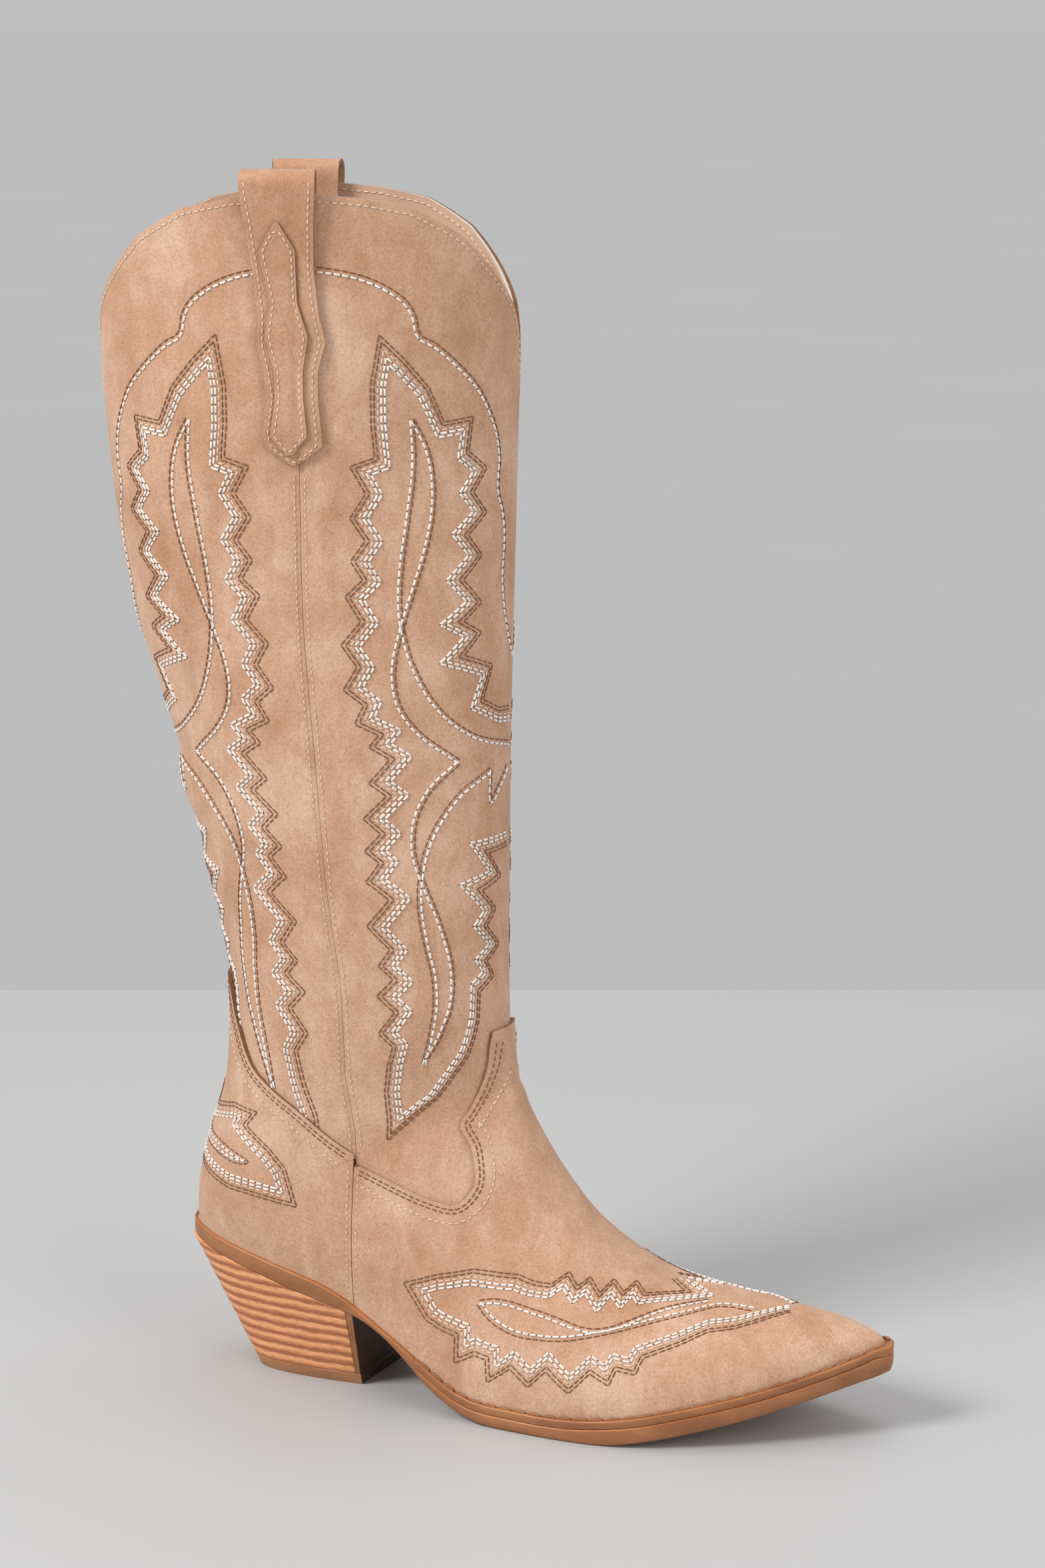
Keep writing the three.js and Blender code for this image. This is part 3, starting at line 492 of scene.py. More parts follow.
def sole_material(name, light, dark):
    """Smooth brown sole with clouds of tone, and dull and shiny places."""
    shader = Shader(name, specular_ior_level=0.4, coat_weight=0.08, coat_roughness=0.3)
    clouds = shader.noise(16, 4, 0.6, vector=shader.stretched(0.6, 1, 1.8))
    tone = shader.ramp(clouds, [(0.34, dark), (0.66, light)])
    scuffs = shader.noise(1.2, 4, 0.7, vector=shader.stretched(0.3, 0.3, 1))
    rough = shader.ramp(shader.noise(4, 3, 0.6), [(0.3, (0.36,) * 3), (0.7, (0.52,) * 3)])
    return shader.done(base_color=tone, normal=shader.bump(scuffs, 0.06, 0.4), roughness=rough)


LAYER = 4.4                       # one layer of the heel stack


def stack_material(name):
    """Level leather layers: a smooth band over a darker, speckled one."""
    shader = Shader(name, roughness=0.5, specular_ior_level=0.4)
    split = shader.nodes.new("ShaderNodeSeparateXYZ")
    shader.links.new(shader.place, split.inputs[0])
    wobble = shader.math("MULTIPLY", shader.noise(11, 3, 0.6), 1.5 * MM)
    height = shader.math("ADD", split.outputs["Z"], wobble)
    share = shader.math("FRACT", shader.math("MULTIPLY", height, 1 / (LAYER * MM)))
    flecks = shader.noise(1.6, 5, 0.8, vector=shader.stretched(0.45, 0.45, 2.2))
    share = shader.math("ADD", share, shader.math("MULTIPLY", shader.math("SUBTRACT", flecks, 0.5), 0.8))
    middle = (0.64, 0.255, 0.105)
    bands = shader.ramp(share, [(0.02, middle), (0.12, (0.36, 0.125, 0.048)), (0.34, (0.48, 0.175, 0.068)),
                                (0.5, middle), (0.62, (0.86, 0.39, 0.17)), (0.9, (0.92, 0.46, 0.22)),
                                (0.97, middle)])
    streaks = shader.noise(2.2, 4, 0.7, vector=shader.stretched(0.2, 0.2, 2.5))
    tint = shader.ramp(streaks, [(0.3, (0.72, 0.7, 0.68)), (0.7, (1.15, 1.15, 1.15))])
    color = shader.mix(0.8, bands, tint, "MULTIPLY")
    return shader.done(base_color=color, normal=shader.bump(flecks, 0.12, 0.6))


def plain_material(name, color, roughness=0.6, metallic=0.0):
    shader = Shader(name, roughness=roughness, metallic=metallic)
    tone = shader.ramp(shader.noise(3, 3, 0.6), [(0.3, darker(color, 0.8)), (0.7, color)])
    return shader.done(base_color=tone, normal=shader.bump(shader.noise(0.8, 2, 0.6), 0.08, 0.4))


suede = suede_material("suede", (0.7, 0.455, 0.325), (0.6, 0.355, 0.23), (0.5, 0.27, 0.155))
suede_strap = suede_material("suede_strap", (0.62, 0.375, 0.245), (0.53, 0.295, 0.18), (0.45, 0.235, 0.13))
# Rims of the cut edges: partly the burnished edge's own dark brown, partly painted shade of the shadow line
# along each edge.
burnished_edge_and_painted_shade = suede_material("burnished_edge_and_painted_shade", (0.3, 0.14, 0.07), (0.22, 0.095, 0.045), (0.15, 0.06, 0.028))
lining_leather = leather_material("lining_leather", (0.62, 0.42, 0.3), (0.52, 0.33, 0.22))
fleece = fleece_material("fleece", (0.82, 0.78, 0.72))
sole_brown = sole_material("sole_brown", (0.35, 0.145, 0.056), (0.245, 0.092, 0.033))
sole_lip = sole_material("sole_lip", (0.46, 0.165, 0.045), (0.33, 0.11, 0.028))
lift_brown = sole_material("lift_brown", (0.46, 0.22, 0.095), (0.34, 0.155, 0.06))
breast_brown = sole_material("breast_brown", (0.085, 0.042, 0.02), (0.055, 0.026, 0.012))
stack = stack_material("heel_stack")
thread_brown = thread_material("thread_brown", (0.21, 0.085, 0.036))
thread_tan = thread_material("thread_tan", (0.82, 0.62, 0.48))
# Dark ends of each stitch: painted shade of the needle holes that the thread dips into.
painted_hole_shade = plain_material("painted_hole_shade", (0.11, 0.045, 0.02), 0.9)
thread_white = thread_material("thread_white", (0.87, 0.82, 0.76))
THREADS = {"brown": thread_brown, "tan": thread_tan, "white": thread_white}

# ---- upper

ROW_STEP = 1.8                    # millimetres between mesh rows
HALF_SEAM = 0.0003                # half of the gap at the side seam, as a share of the section
LINING = 1.0


def clear_of_seat(rows):
    """Rows with none between the two close sections at the heel seat, where the curve would fold."""
    outside = rows[(rows < HEEL_SEAT - 0.05) | (rows > HEEL_SEAT + 1.05)]
    if rows[-1] <= HEEL_SEAT:
        return rows
    return np.sort(np.r_[outside, HEEL_SEAT, HEEL_SEAT + 1])


def rows_between(top_height, bottom_row):
    """Places u about ROW_STEP apart down the side, from a height to a row of SECTIONS."""
    fine = np.linspace(float(row_at(top_height)), bottom_row, 400)
    length = run_length(surface(fine, 0.5, -1, 0)[0])
    count = int(length[-1] / ROW_STEP) + 2
    return clear_of_seat(np.interp(np.linspace(0, length[-1], count), length, fine))


def follow_top_line(rows, share):
    """Rows for one column that start on the scalloped top edge and even out below it."""
    free = 2.0
    top = row_at(np.interp(np.abs(2 * share[0] - 1), *TOP_LINE))
    down = np.clip((rows - rows[0]) / (free - rows[0]), 0, 1)
    return np.where(rows < free, top + (free - top) * down, rows)


def leg_sheet(front, rows, distance, columns=72):
    """One panel of the shaft or of its lining, out to both side seams."""
    grid_u, grid_s = np.zeros((2, len(rows), columns))
    for j, t in enumerate(np.linspace(0, 1, columns) ** 1.25):
        u = rows
        for _ in range(2):
            seam = seam_share(u)
            s = 1 - t * (1 - seam - HALF_SEAM) if front else t * (seam - HALF_SEAM)
            u = follow_top_line(rows, s)
        grid_u[:, j] = u
        grid_s[:, j] = s
    return both_sides(grid_u, grid_s, distance, front)


def foot_sheet(rows, columns, distance, tuck=0.0):
    """The foot from the sole edge to the ridge. Its lower edge is drawn down by tuck, into the sole."""
    grid_u, grid_s = np.meshgrid(rows, np.linspace(0, 1, columns), indexing="ij")
    points, faces = both_sides(grid_u, grid_s, distance)
    at_sole = (grid_s == 0) & (grid_u > HEEL_SEAT)
    points[:, 2] -= np.tile(tuck * at_sole.ravel(), 2)
    return points, faces


VAMP_EDGE = smooth_line([[77, 92], [89.5, 86.8], [101, 82.3], [110, 79.7], [116, 79], [120, 82],
                         [122.3, 87], [121.5, 93.3], [119.5, 99.5], [115, 107], [117.4, 112.3],
                         [121, 120.7], [123.4, 129], [124.6, 139.5], [126.4, 142], [140, 142]], 5)
COUNTER_EDGE = smooth_line([[-10, 156], [17, 156], [22.3, 150.4], [27.7, 139.7], [34.5, 126.7],
                            [42.7, 119.7], [55.6, 111.4], [67.3, 102], [77, 95.3]], 5)
PANEL_FOOT = [[-60, 84], [77, 84], [101, 74.5], [119, 71], [124, 72], [127, 88], [129, 105],
              [132, 125], [300, 134]]
TUCK = 8                          # back panel tucked under the counter
LINING_SEAM = np.array([[-30, 112], [0, 112], [77, 97], [112, 92], [150, 118], [190, 118]])


def above(line, rise=0.0):
    """The outline of everything above a line of x and z that is moved up by rise."""
    line = np.asarray(line, float) + [0, rise]
    return np.vstack([line, [line[-1][0], 600], [line[0][0], 600]])


def shaft_panels():
    under_vamp = above(PANEL_FOOT)
    under_counter = above(np.vstack([[-60, 156], COUNTER_EDGE, [300, COUNTER_EDGE[-1][1]]]), -TUCK)
    for name, front, last, outline in (("shaft_front", True, 18, under_vamp),
                                       ("shaft_back", False, 12, under_counter)):
        sheet = trim(leg_sheet(front, rows_between(450.5, last), 0), outline)
        panel_piece(f"panel_{name}", sheet, suede, name, SUEDE, rim=burnished_edge_and_painted_shade)


def lining_piece(name, sheet):
    panel_piece(f"leather_{name}", sheet, lining_leather, name, LINING, 0.2)


def linings():
    gap = 0.15
    leg = above(np.vstack([[-60, 112], LINING_SEAM, [300, 118]]), gap)
    for name, front in (("shaft_lining_front", True), ("shaft_lining_back", False)):
        lining_piece(name, trim(leg_sheet(front, rows_between(450.5, 18), LINING_SKIN, 48), leg))
    below = np.vstack([LINING_SEAM - [0, gap], [[300, 118], [300, -50], [-60, -50], [-60, 112]]])
    foot = trim(foot_sheet(clear_of_seat(np.linspace(7, TOE, 120)), 40, LINING_SKIN), below)
    for name, sign in (("vamp_lining", 1), ("heel_lining", -1)):
        half = keep_inside(foot, sign * (foot[0][:, 0] - FOOT_SEAM_X) - gap)
        over_seat = half[0][:, 2] - seat_height(half[0][:, 0]) - 2.2
        lining_piece(name, keep_inside(half, over_seat))


def seam_tapes():
    """The pale tape behind each side seam."""
    rows = rows_between(446, 7)
    columns = 7
    shares = seam_share(rows)[:, None] + np.linspace(-0.03, 0.03, columns)
    for label, side in (("outer", -1), ("inner", 1)):
        points = surface(np.repeat(rows, columns), shares.ravel(), side, -SUEDE - 0.3)[0]
        sheet = (points, grid_faces(len(rows), columns, side < 0))
        tape = make_piece(f"tape_{label}", sheet, [fleece], f"seam_tape_{label}")
        thicken(tape, 0.5, edge=0.1)


def edge_backings():
    """The pale fleece that shows between suede and lining along the top edge."""
    for name, front in (("edge_backing_front", True), ("edge_backing_back", False)):
        sheet = leg_sheet(front, rows_between(450.5, 16)[:12], -SUEDE - 0.1)
        panel_piece(f"fleece_{name}", sheet, fleece, name, 1.0, 0.25)


def foot_pieces():
    """Vamp and counter. Returns a tree of the outside of each, to lay stitches on."""
    vamp_rows = np.r_[np.linspace(5.5, 16, 90), np.linspace(16, 24, 150)[1:], np.linspace(24, TOE, 50)[1:]]
    vamp_outline = np.vstack([VAMP_EDGE, [[300, 142], [300, -50], [77, -50]]])
    counter_outline = np.vstack([COUNTER_EDGE, [[77.1, -50], [-60, -50], [-60, 156]]])
    outside = {}
    for name, rows, outline, sign in (("vamp", vamp_rows, vamp_outline, 1),
                                      ("counter", np.linspace(5.5, 17.5, 130), counter_outline, -1)):
        sheet = trim(foot_sheet(clear_of_seat(rows), 84, FOOT_SKIN, 0.8), outline)
        sheet = keep_inside(sheet, sign * (sheet[0][:, 0] - FOOT_SEAM_X) - 0.05)
        panel_piece(f"panel_{name}", sheet, suede, name, SUEDE, rim=burnished_edge_and_painted_shade)
        outside[name] = BVHTree.FromPolygons(sheet[0].tolist(), [tuple(face) for face in sheet[1]])
    return outside


# ---- pull straps

STRAP = 1.6
OVERLAY = 1.0
FLAT_ROWS = 9                     # rows of a strap that lie on the outside of the shaft
# Height, distance from the last, and the two edges measured from the side seam.
STRAP_ROWS = [[354, 1.3, -2.5, -0.5], [361, 1.3, -11.6, 8.6], [366, 1.3, -12.5, 8.5], [379, 1.4, -10.4, 7.5],
              [389, 1.5, -11.8, 7.8], [398, 1.6, -13.7, 10.6], [408, 1.8, -13.2, 8.6],
              [424, 2.4, -14.8, 6.9], [440, 3.8, -17, 7], [449, 4.7, -18.4, 7.4], [454.8, 4.9, -18.8, 7.6],
              [457.3, 2.2, -18.9, 7.6], [457.9, -1.8, -18.9, 7.6], [457.3, -5.8, -18.9, 7.6],
              [454.8, -8.5, -18.8, 7.6], [449, -8.6, -18.4, 7.4], [436, -6.9, -17, 7],
              [420, -5.6, -14.8, 6.9], [404, -5.3, -13.5, 8]]
OVERLAY_ROWS = [[358, 2.95, -4, -2], [365, 2.95, -9.5, 3.5], [379, 3.05, -7.4, 2.5], [389, 3.15, -7.6, 2.6],
                [400, 3.35, -10.5, 4.6], [413, 3.6, -8.6, 1.2], [431, 4.6, -12, 0.6], [441, 5.4, -6.4, -5]]


def strap_rows(rows):
    """Closer rows: cornered on the outside of the shaft, curved where the strap turns over the edge."""
    steps = 6
    rows = np.asarray(rows, float)
    flat = min(FLAT_ROWS, len(rows) - 1)
    fine = read_at(np.arange(flat * steps + 1) / steps, np.arange(flat + 1), rows[:flat + 1])
    fine[:, 1] = np.interp(fine[:, 0], *smooth_line(rows[:flat + 1, :2], steps).T)
    return np.vstack([fine[:-1], smooth_line(rows, steps)[flat * steps:]])


def strip(name, rows, side, thickness, node):
    fine = strap_rows(rows)
    across = np.linspace(0, 1, 13)
    points = [on_shaft(low + (high - low) * across, np.full(len(across), height), side, distance)[0]
              for height, distance, low, high in fine]
    sheet = (np.vstack(points), grid_faces(len(fine), len(across), side > 0))
    piece = make_piece(name, sheet, [suede_strap], node)
    thicken(piece, thickness, offset=0, edge=0.2, rim=burnished_edge_and_painted_shade)


def straps():
    for label, side in (("outer", -1), ("inner", 1)):
        strip(f"strap_{label}", STRAP_ROWS, side, STRAP, f"pull_strap_{label}")
        strip(f"overlay_{label}", OVERLAY_ROWS, side, OVERLAY, f"strap_overlay_{label}")


# ---- stitches

THREAD_SIDES = 6
# Share of the length, share of the radius and height above the leather, both ends dipping in.
THREAD_RINGS = [[-0.56, 0.5, -0.2], [-0.47, 0.85, 0.2], [-0.2, 1, 0.7],
                [0.2, 1, 0.7], [0.47, 0.85, 0.2], [0.56, 0.5, -0.2]]
stitches = defaultdict(list)      # start, end, normal and radius of each, by panel and colour


def thread_piece(name, laid, material):
    """One mesh of small arched capsules, each end of them painted dark with the shade of its needle hole."""
    start, end, normal, radius = (np.array(values, float) for values in zip(*laid))
    length = np.linalg.norm(end - start, axis=1)
    along = (end - start) / length[:, None]
    across = unit(np.cross(normal, along))
    up = np.cross(along, across)
    rings, sides = len(THREAD_RINGS), THREAD_SIDES
    points = np.zeros((len(start), rings, sides, 3))
    for i, (share, size, rise) in enumerate(THREAD_RINGS):
        centre = (start + end) / 2 + along * (share * length)[:, None] + up * (rise * radius)[:, None]
        for j in range(sides):
            angle = j * 2 * math.pi / sides
            out = across * math.cos(angle) + up * math.sin(angle)
            points[:, i, j] = centre + out * (size * radius)[:, None]
    walls = grid_faces(rings, sides, close="columns")
    count = rings * sides
    caps = [tuple(range(sides))[::-1], tuple(range(count - sides, count))]
    faces = [tuple(n * count + i for i in face) for n in range(len(start)) for face in walls + caps]
    # The end rings and caps take the painted hole shade.
    dark = [True] * sides + [False] * (len(walls) - 2 * sides) + [True] * (sides + 2)
    make_piece(name, (points.reshape(-1, 3), faces), [material, painted_hole_shade], sharp=80,
               second=dark * len(start))


def sew(panel, color, points, normals, stitch, gap, radius):
    """Lays equal stitches along a line of close points."""
    length = run_length(points)
    count = max(1, round(length[-1] / (stitch + gap)))
    pitch = length[-1] / count
    for n in range(count):
        start, end = read_at((n * pitch + gap / 2, (n + 1) * pitch - gap / 2), length, points)
        normal = read_at((n + 0.5) * pitch, length, normals)
        stitches[panel, color].append((start, end, normal, radius))


def mitred(line, distance):
    """A flat line moved sideways to its left, with sharp corners kept."""
    line = np.asarray(line, float)
    run = unit(np.diff(line, axis=0))
    left = np.stack([-run[:, 1], run[:, 0]], axis=1)
    before = np.vstack([left[:1], left])
    after = np.vstack([left, left[-1:]])
    middle = unit(before + after)
    stretch = 1 / np.maximum((middle * after).sum(axis=1), 0.42)
    return line + middle * (distance * stretch)[:, None]


WHITE = {"stitch": 2.5, "gap": 0.5, "radius": 0.42}
BROWN = {"stitch": 2.2, "gap": 0.7, "radius": 0.27}
TOP_EDGE = {"stitch": 2.0, "gap": 0.8, "radius": 0.26}
SEAM = {"stitch": 1.7, "gap": 0.9, "radius": 0.22}
EDGE = {"stitch": 1.7, "gap": 0.9, "radius": 0.25}


def sew_on(panel, lift, line, color, size=None, corners=False):
    """Sews a flat line that lift, a function of its points, lays on the leather.

    With corners, each straight stretch is sewn on its own, so a stitch never cuts a corner."""
    size = size or (WHITE if color == "white" else BROWN)
    stretches = [np.linspace(a, b, 8) for a, b in zip(line, line[1:])] if corners else [line]
    for stretch in stretches:
        points, normals = lift(stretch)
        keep = np.isfinite(points).all(axis=1)
        if keep.sum() > 1:
            sew(panel, color, points[keep], normals[keep], **size)


FEATHER_ROWS = ["brown", "brown", "tan", "white", "white"]
ROW_GAP = 1.35


def sew_feather(panel, lift, line, gap=ROW_GAP):
    for k, color in enumerate(FEATHER_ROWS):
        sew_on(panel, lift, mitred(line, k * gap), color, corners=True)


def sew_pair(panel, lift, line, white_at, brown_at):
    """A white and a brown row on either side of a curve."""
    sew_on(panel, lift, mitred(line, white_at), "white")
    sew_on(panel, lift, mitred(line, brown_at), "brown")


# The shaft's motif, as millimetres forward of the side seam and row height. The back panels carry its
# mirror image.
FRAME_LINE = [[7.6, 425.3], [19.8, 423.4], [31, 419.5], [40, 413.8], [44.5, 407.5], [46.2, 400.3],
              [53.2, 397.1], [65, 389.3], [75, 381.5], [82.6, 372.2], [87.5, 364], [90, 354], [88.5, 343],
              [92.5, 334.8], [94.7, 324], [93, 308], [99, 290], [112, 276]]
FEATHER = [[100, 261.5], [85.4, 262.5], [74, 266.4], [82, 278.8], [64, 283.5], [75, 291.3], [64.6, 295.9],
           [75.6, 302.2], [65.1, 311], [76.1, 319.3], [68, 327.1], [79.3, 334.8], [71.2, 342.6],
           [79.7, 351], [69, 357.5], [71.5, 370.6], [56.5, 369.1], [49.8, 382], [40, 392], [29.9, 400.5],
           [26.4, 383], [26.4, 369], [27.6, 356.5], [18.3, 353.5], [24, 343.5], [18, 334.8], [23.6, 326.5],
           [18, 319.3], [22.3, 312.5], [15.6, 306.5], [21, 297.5], [13.3, 289], [18.5, 281], [12.8, 272.6],
           [19.7, 267], [15.9, 260.1], [24.4, 256], [20.4, 251.6], [28, 247], [19.3, 238.5], [25.7, 234],
           [16.3, 226], [22.5, 220.5], [15.9, 214], [21.2, 209.5], [15.3, 201.5], [23.4, 195.6],
           [13.6, 186.5], [21, 177.5], [15.6, 170.5], [20.6, 164.6], [13.8, 159], [20.3, 152.4],
           [13.7, 142.5], [18.7, 136.5], [13.2, 114], [11.8, 90.5], [33.2, 101.4], [51.4, 124],
           [58.5, 145], [59.7, 158], [69.9, 162.8], [65.5, 169.5], [76.5, 175.7], [67.5, 184],
           [75.5, 189.5], [66.3, 196.4], [82.1, 199.5], [72.3, 210.3], [95, 211]]
RIBBONS = [
    [[42.5, 370.6], [48.5, 360], [51.2, 349], [51, 336.4], [47.5, 322.4], [42.1, 308.4], [36.6, 294.4],
     [32.4, 281], [32.3, 270], [35.5, 262], [43, 254], [57.9, 244.6]],
    [[57.9, 244.6], [44.5, 236.5], [36.8, 226], [34.8, 213.5], [37.8, 201], [42.3, 188.7], [45.4, 173.5],
     [44.7, 158], [40, 143.6], [30.1, 123.6]],
    [[42.5, 370.6], [43.2, 353.5], [40.3, 333.3], [37.8, 319.3], [36.3, 305.3], [36.9, 294], [40, 281],
     [46.8, 268], [57, 258.6], [72, 252], [98.4, 247.7]],
    [[30.1, 123.6], [35.8, 148.4], [37, 164.2], [35.7, 177.8], [35, 192], [36.8, 203], [40, 214],
     [46.8, 224.4], [58.5, 234], [77, 240.5]],
    [[77, 240.5], [75.5, 229], [82, 233], [94, 240]],
]


def shaft_stitches():
    for side in (-1, 1):
        for sign, panel in ((1, "front"), (-1, "back")):
            def lift(line, side=side, sign=sign):
                points, normals = on_shaft(sign * line[:, 0], line[:, 1], side)
                reach = half_girth(row_at(line[:, 1])) / 2 - 0.4
                return np.where((line[:, 0] < reach)[:, None], points, np.nan), normals

            sew_feather(panel, lift, FEATHER)
            frame_line = smooth_line(FRAME_LINE)
            sew_on(panel, lift, frame_line, "brown")
            sew_on(panel, lift, mitred(frame_line, -1.6), "white")
            for ribbon in RIBBONS:
                sew_pair(panel, lift, smooth_line(ribbon), -0.75, 0.75)
            seam = np.stack([np.full(80, 1.9), np.linspace(350, 92, 80)], axis=1)
            sew_on(panel, lift, seam, "tan", SEAM)


def top_edge_stitches():
    """A row just inside the top edge, sewn through suede and lining."""
    for side in (-1, 1):
        for panel, first, last in (("front", 0.53, 0.999), ("back", 0.47, 0.001)):
            shares = np.linspace(first, last, 160)
            height = np.interp(np.abs(2 * shares - 1), *TOP_LINE)
            slope = np.abs(np.gradient(height, shares * 242))
            u = row_at(height - 2.3 * np.sqrt(1 + slope**2))
            for distance, facing in ((0, 1), (LINING_SKIN - LINING, -1)):
                points, normals = surface(u, shares, side, distance)
                sew(panel, "tan", points, facing * normals, **TOP_EDGE)


def strap_stitches():
    """A row round the flat part of each strap, open at the top, and one all round each overlay."""
    strap = strap_rows(STRAP_ROWS[:FLAT_ROWS + 2])
    overlay = strap_rows(OVERLAY_ROWS)
    for label, side in (("outer", -1), ("inner", 1)):
        for rows, inset, thickness, closed in ((strap, 2.0, STRAP, False), (overlay, 1.4, OVERLAY, True)):
            height, _, low, high = rows[rows[:, 3] - rows[:, 2] > 2 * inset + 1].T
            left = np.column_stack([low + inset, height])
            right = np.column_stack([high - inset, height])
            loop = np.vstack([left, right[::-1], left[:1]] if closed else [left[::-1], right])

            def lift(line, side=side, rows=rows, thickness=thickness):
                distance = np.interp(line[:, 1], rows[:, 0], rows[:, 1]) + thickness / 2
                return on_shaft(line[:, 0], line[:, 1], side, distance)

            sew_on(f"strap_{label}", lift, loop, "tan", EDGE)


# The vamp's motif, as x and millimetres up from the sole edge, round the foot.
VAMP_FEATHER = [[193, 64], [200, 55], [186, 52.5], [179, 59], [175, 52], [167, 57.5], [163.5, 49.5],
                [155, 55], [151, 49.5], [143, 54], [137, 47.5], [118, 46], [100, 37.5], [90, 29],
                [83, 19.9], [90, 17.2], [98, 14.2], [104, 14.8], [110, 16.5], [115, 9], [120, 15.5],
                [125, 16], [130, 8.6], [137, 15.4], [147.5, 10.2], [153, 17.2], [165, 10.6], [172, 18.6],
                [181, 14.2], [183, 20], [191, 18], [193, 24.2], [205, 27.5], [213, 31.2], [222, 30.5],
                [232, 31.7], [239, 33.5]]
VAMP_LEAF = [
    [[110, 30.2], [116, 34.3], [126, 36.6], [145, 35.8], [163, 34.2], [174, 35.5], [185, 39.5],
     [197, 44.8], [209, 48.7]],
    [[110, 30.2], [117, 28.8], [124, 28.2], [138, 27.6], [154, 29.2], [170, 33.2], [186, 37.2],
     [202, 41.2], [214, 44.8], [226, 39]],
]
FOOT_ROWS = np.linspace(HEEL_SEAT, TOE - 0.5, 60)
FOOT_X = section(FOOT_ROWS)[:, 2]


def foot_girth(rows):
    """Length round the foot from the sole edge to the ridge."""
    shares = np.linspace(0, 1, 24)
    path = np.array([surface(rows, share, -1, FOOT_SKIN)[0] for share in shares])
    return np.linalg.norm(np.diff(path, axis=0), axis=2).sum(axis=0)


FOOT_GIRTHS = foot_girth(FOOT_ROWS)


def vamp_stitches():
    for side in (-1, 1):
        def lift(line, side=side):
            u = np.interp(line[:, 0], FOOT_X, FOOT_ROWS)
            s = line[:, 1] / np.interp(u, FOOT_ROWS, FOOT_GIRTHS)
            points, normals = surface(u, np.clip(s, 0, 1), side, FOOT_SKIN)
            return np.where((s < 0.995)[:, None], points, np.nan), normals

        sew_feather("vamp", lift, VAMP_FEATHER)
        upper_leaf, lower_leaf = map(smooth_line, VAMP_LEAF)
        sew_pair("vamp", lift, upper_leaf, -0.75, 0.75)
        sew_pair("vamp", lift, lower_leaf, 0.75, -0.75)


# The counter's motif, as degrees round the heel from the back centre and height.
COUNTER_FEATHER = [[12, 113], [24, 113.5], [19, 105], [56, 109.5], [79, 108.5], [70, 102.6], [88, 95.4],
                   [99, 88.4], [106, 73.4], [87, 75], [72, 76.2], [56, 76.8], [39, 79.4], [20, 82], [0, 83]]
COUNTER_LEAF = [[0, 98], [16, 95.3], [43, 93], [58, 90.9], [71, 88.6], [60, 87.8], [45, 89.4],
                [29, 90.8], [0, 92]]
HEEL_AXIS = 45                    # x of the upright line that the degrees are measured round
DEGREE = 0.62                     # millimetres that a degree stands for, to draw the motif flat


def first_hit(tree, origins, directions):
    points = np.full((len(origins), 3), np.nan)
    normals = np.zeros((len(origins), 3))
    for i, (origin, direction) in enumerate(zip(origins, directions)):
        hit, normal, _, _ = tree.ray_cast(Vector(origin), Vector(direction))
        if hit is not None:
            points[i] = hit
            normals[i] = -np.array(normal) if normal.dot(Vector(direction)) > 0 else normal
    return points, normals


def from_side(tree, side):
    """Lifts x and z to the leather, looking straight at that side."""
    def lift(line):
        origins = [(x, side * 200, z) for x, z in line]
        return first_hit(tree, origins, [(0, -side, 0)] * len(line))
    return lift


def round_heel(tree, side):
    """Lifts degrees from the back centre and height to the leather."""
    def lift(line):
        angles = np.radians(line[:, 0] / DEGREE)
        out = np.stack([-np.cos(angles), side * np.sin(angles), 0 * angles], axis=1)
        centre = np.stack([HEEL_AXIS + 0 * angles, 0 * angles, line[:, 1]], axis=1)
        return first_hit(tree, centre + out * 200, -out)
    return lift


EDGE_ROWS = [(1.6, "brown"), (3.0, "brown"), (6.6, "tan")]


def seam_stitches(outside):
    """Rows along the edges of vamp and counter, and down the seam between them."""
    vamp_line = VAMP_EDGE[VAMP_EDGE[:, 1] < 138][1:]
    counter_line = COUNTER_EDGE[(COUNTER_EDGE[:, 0] > 19.5) & (COUNTER_EDGE[:, 0] < 76)]
    for side in (-1, 1):
        for panel, edge, x in (("vamp", vamp_line, FOOT_SEAM_X + 1.9),
                               ("counter", counter_line, FOOT_SEAM_X - 1.9)):
            lift = from_side(outside[panel], side)
            for inset, color in EDGE_ROWS:
                sew_on(panel, lift, mitred(edge, -inset), color, EDGE)
            down = np.stack([np.full(40, x), np.linspace(90, seat_height(x) + 3, 40)], axis=1)
            sew_on(panel, lift, down, "tan", SEAM)


def counter_stitches(outside):
    for side in (-1, 1):
        lift = round_heel(outside["counter"], side)
        sew_feather("counter", lift, np.array(COUNTER_FEATHER) * [DEGREE, 1], -ROW_GAP)
        leaf = smooth_line(np.array(COUNTER_LEAF) * [DEGREE, 1], 5)
        sew_pair("counter", lift, leaf, -0.7, 0.7)


# ---- sole

SOLE_UNDERSIDE = smooth_line([[-6, 53], [10, 50], [32, 44.5], [54, 38.5], [74, 33.6], [82, 30.6],
                              [90.6, 25.4], [99, 18.4], [108.7, 10], [118, 4.6], [127, 1.4], [136, 0],
                              [176, 0], [193, 2.1], [211, 6], [229, 10.5], [245, 15], [261, 20],
                              [272, 23.2], [284, 26.6]], 4)
SOLE_LEDGE = [[0, 60, 110, 240, 266, 272], [2.9, 3, 3.7, 3.8, 4.6, 6]]
WELT_FROM = 104
WELT = 3.0


def sole_edge(rows, side=-1):
    """Where the last meets the sole."""
    return last_point(rows, 0 * rows, side + 0 * rows)


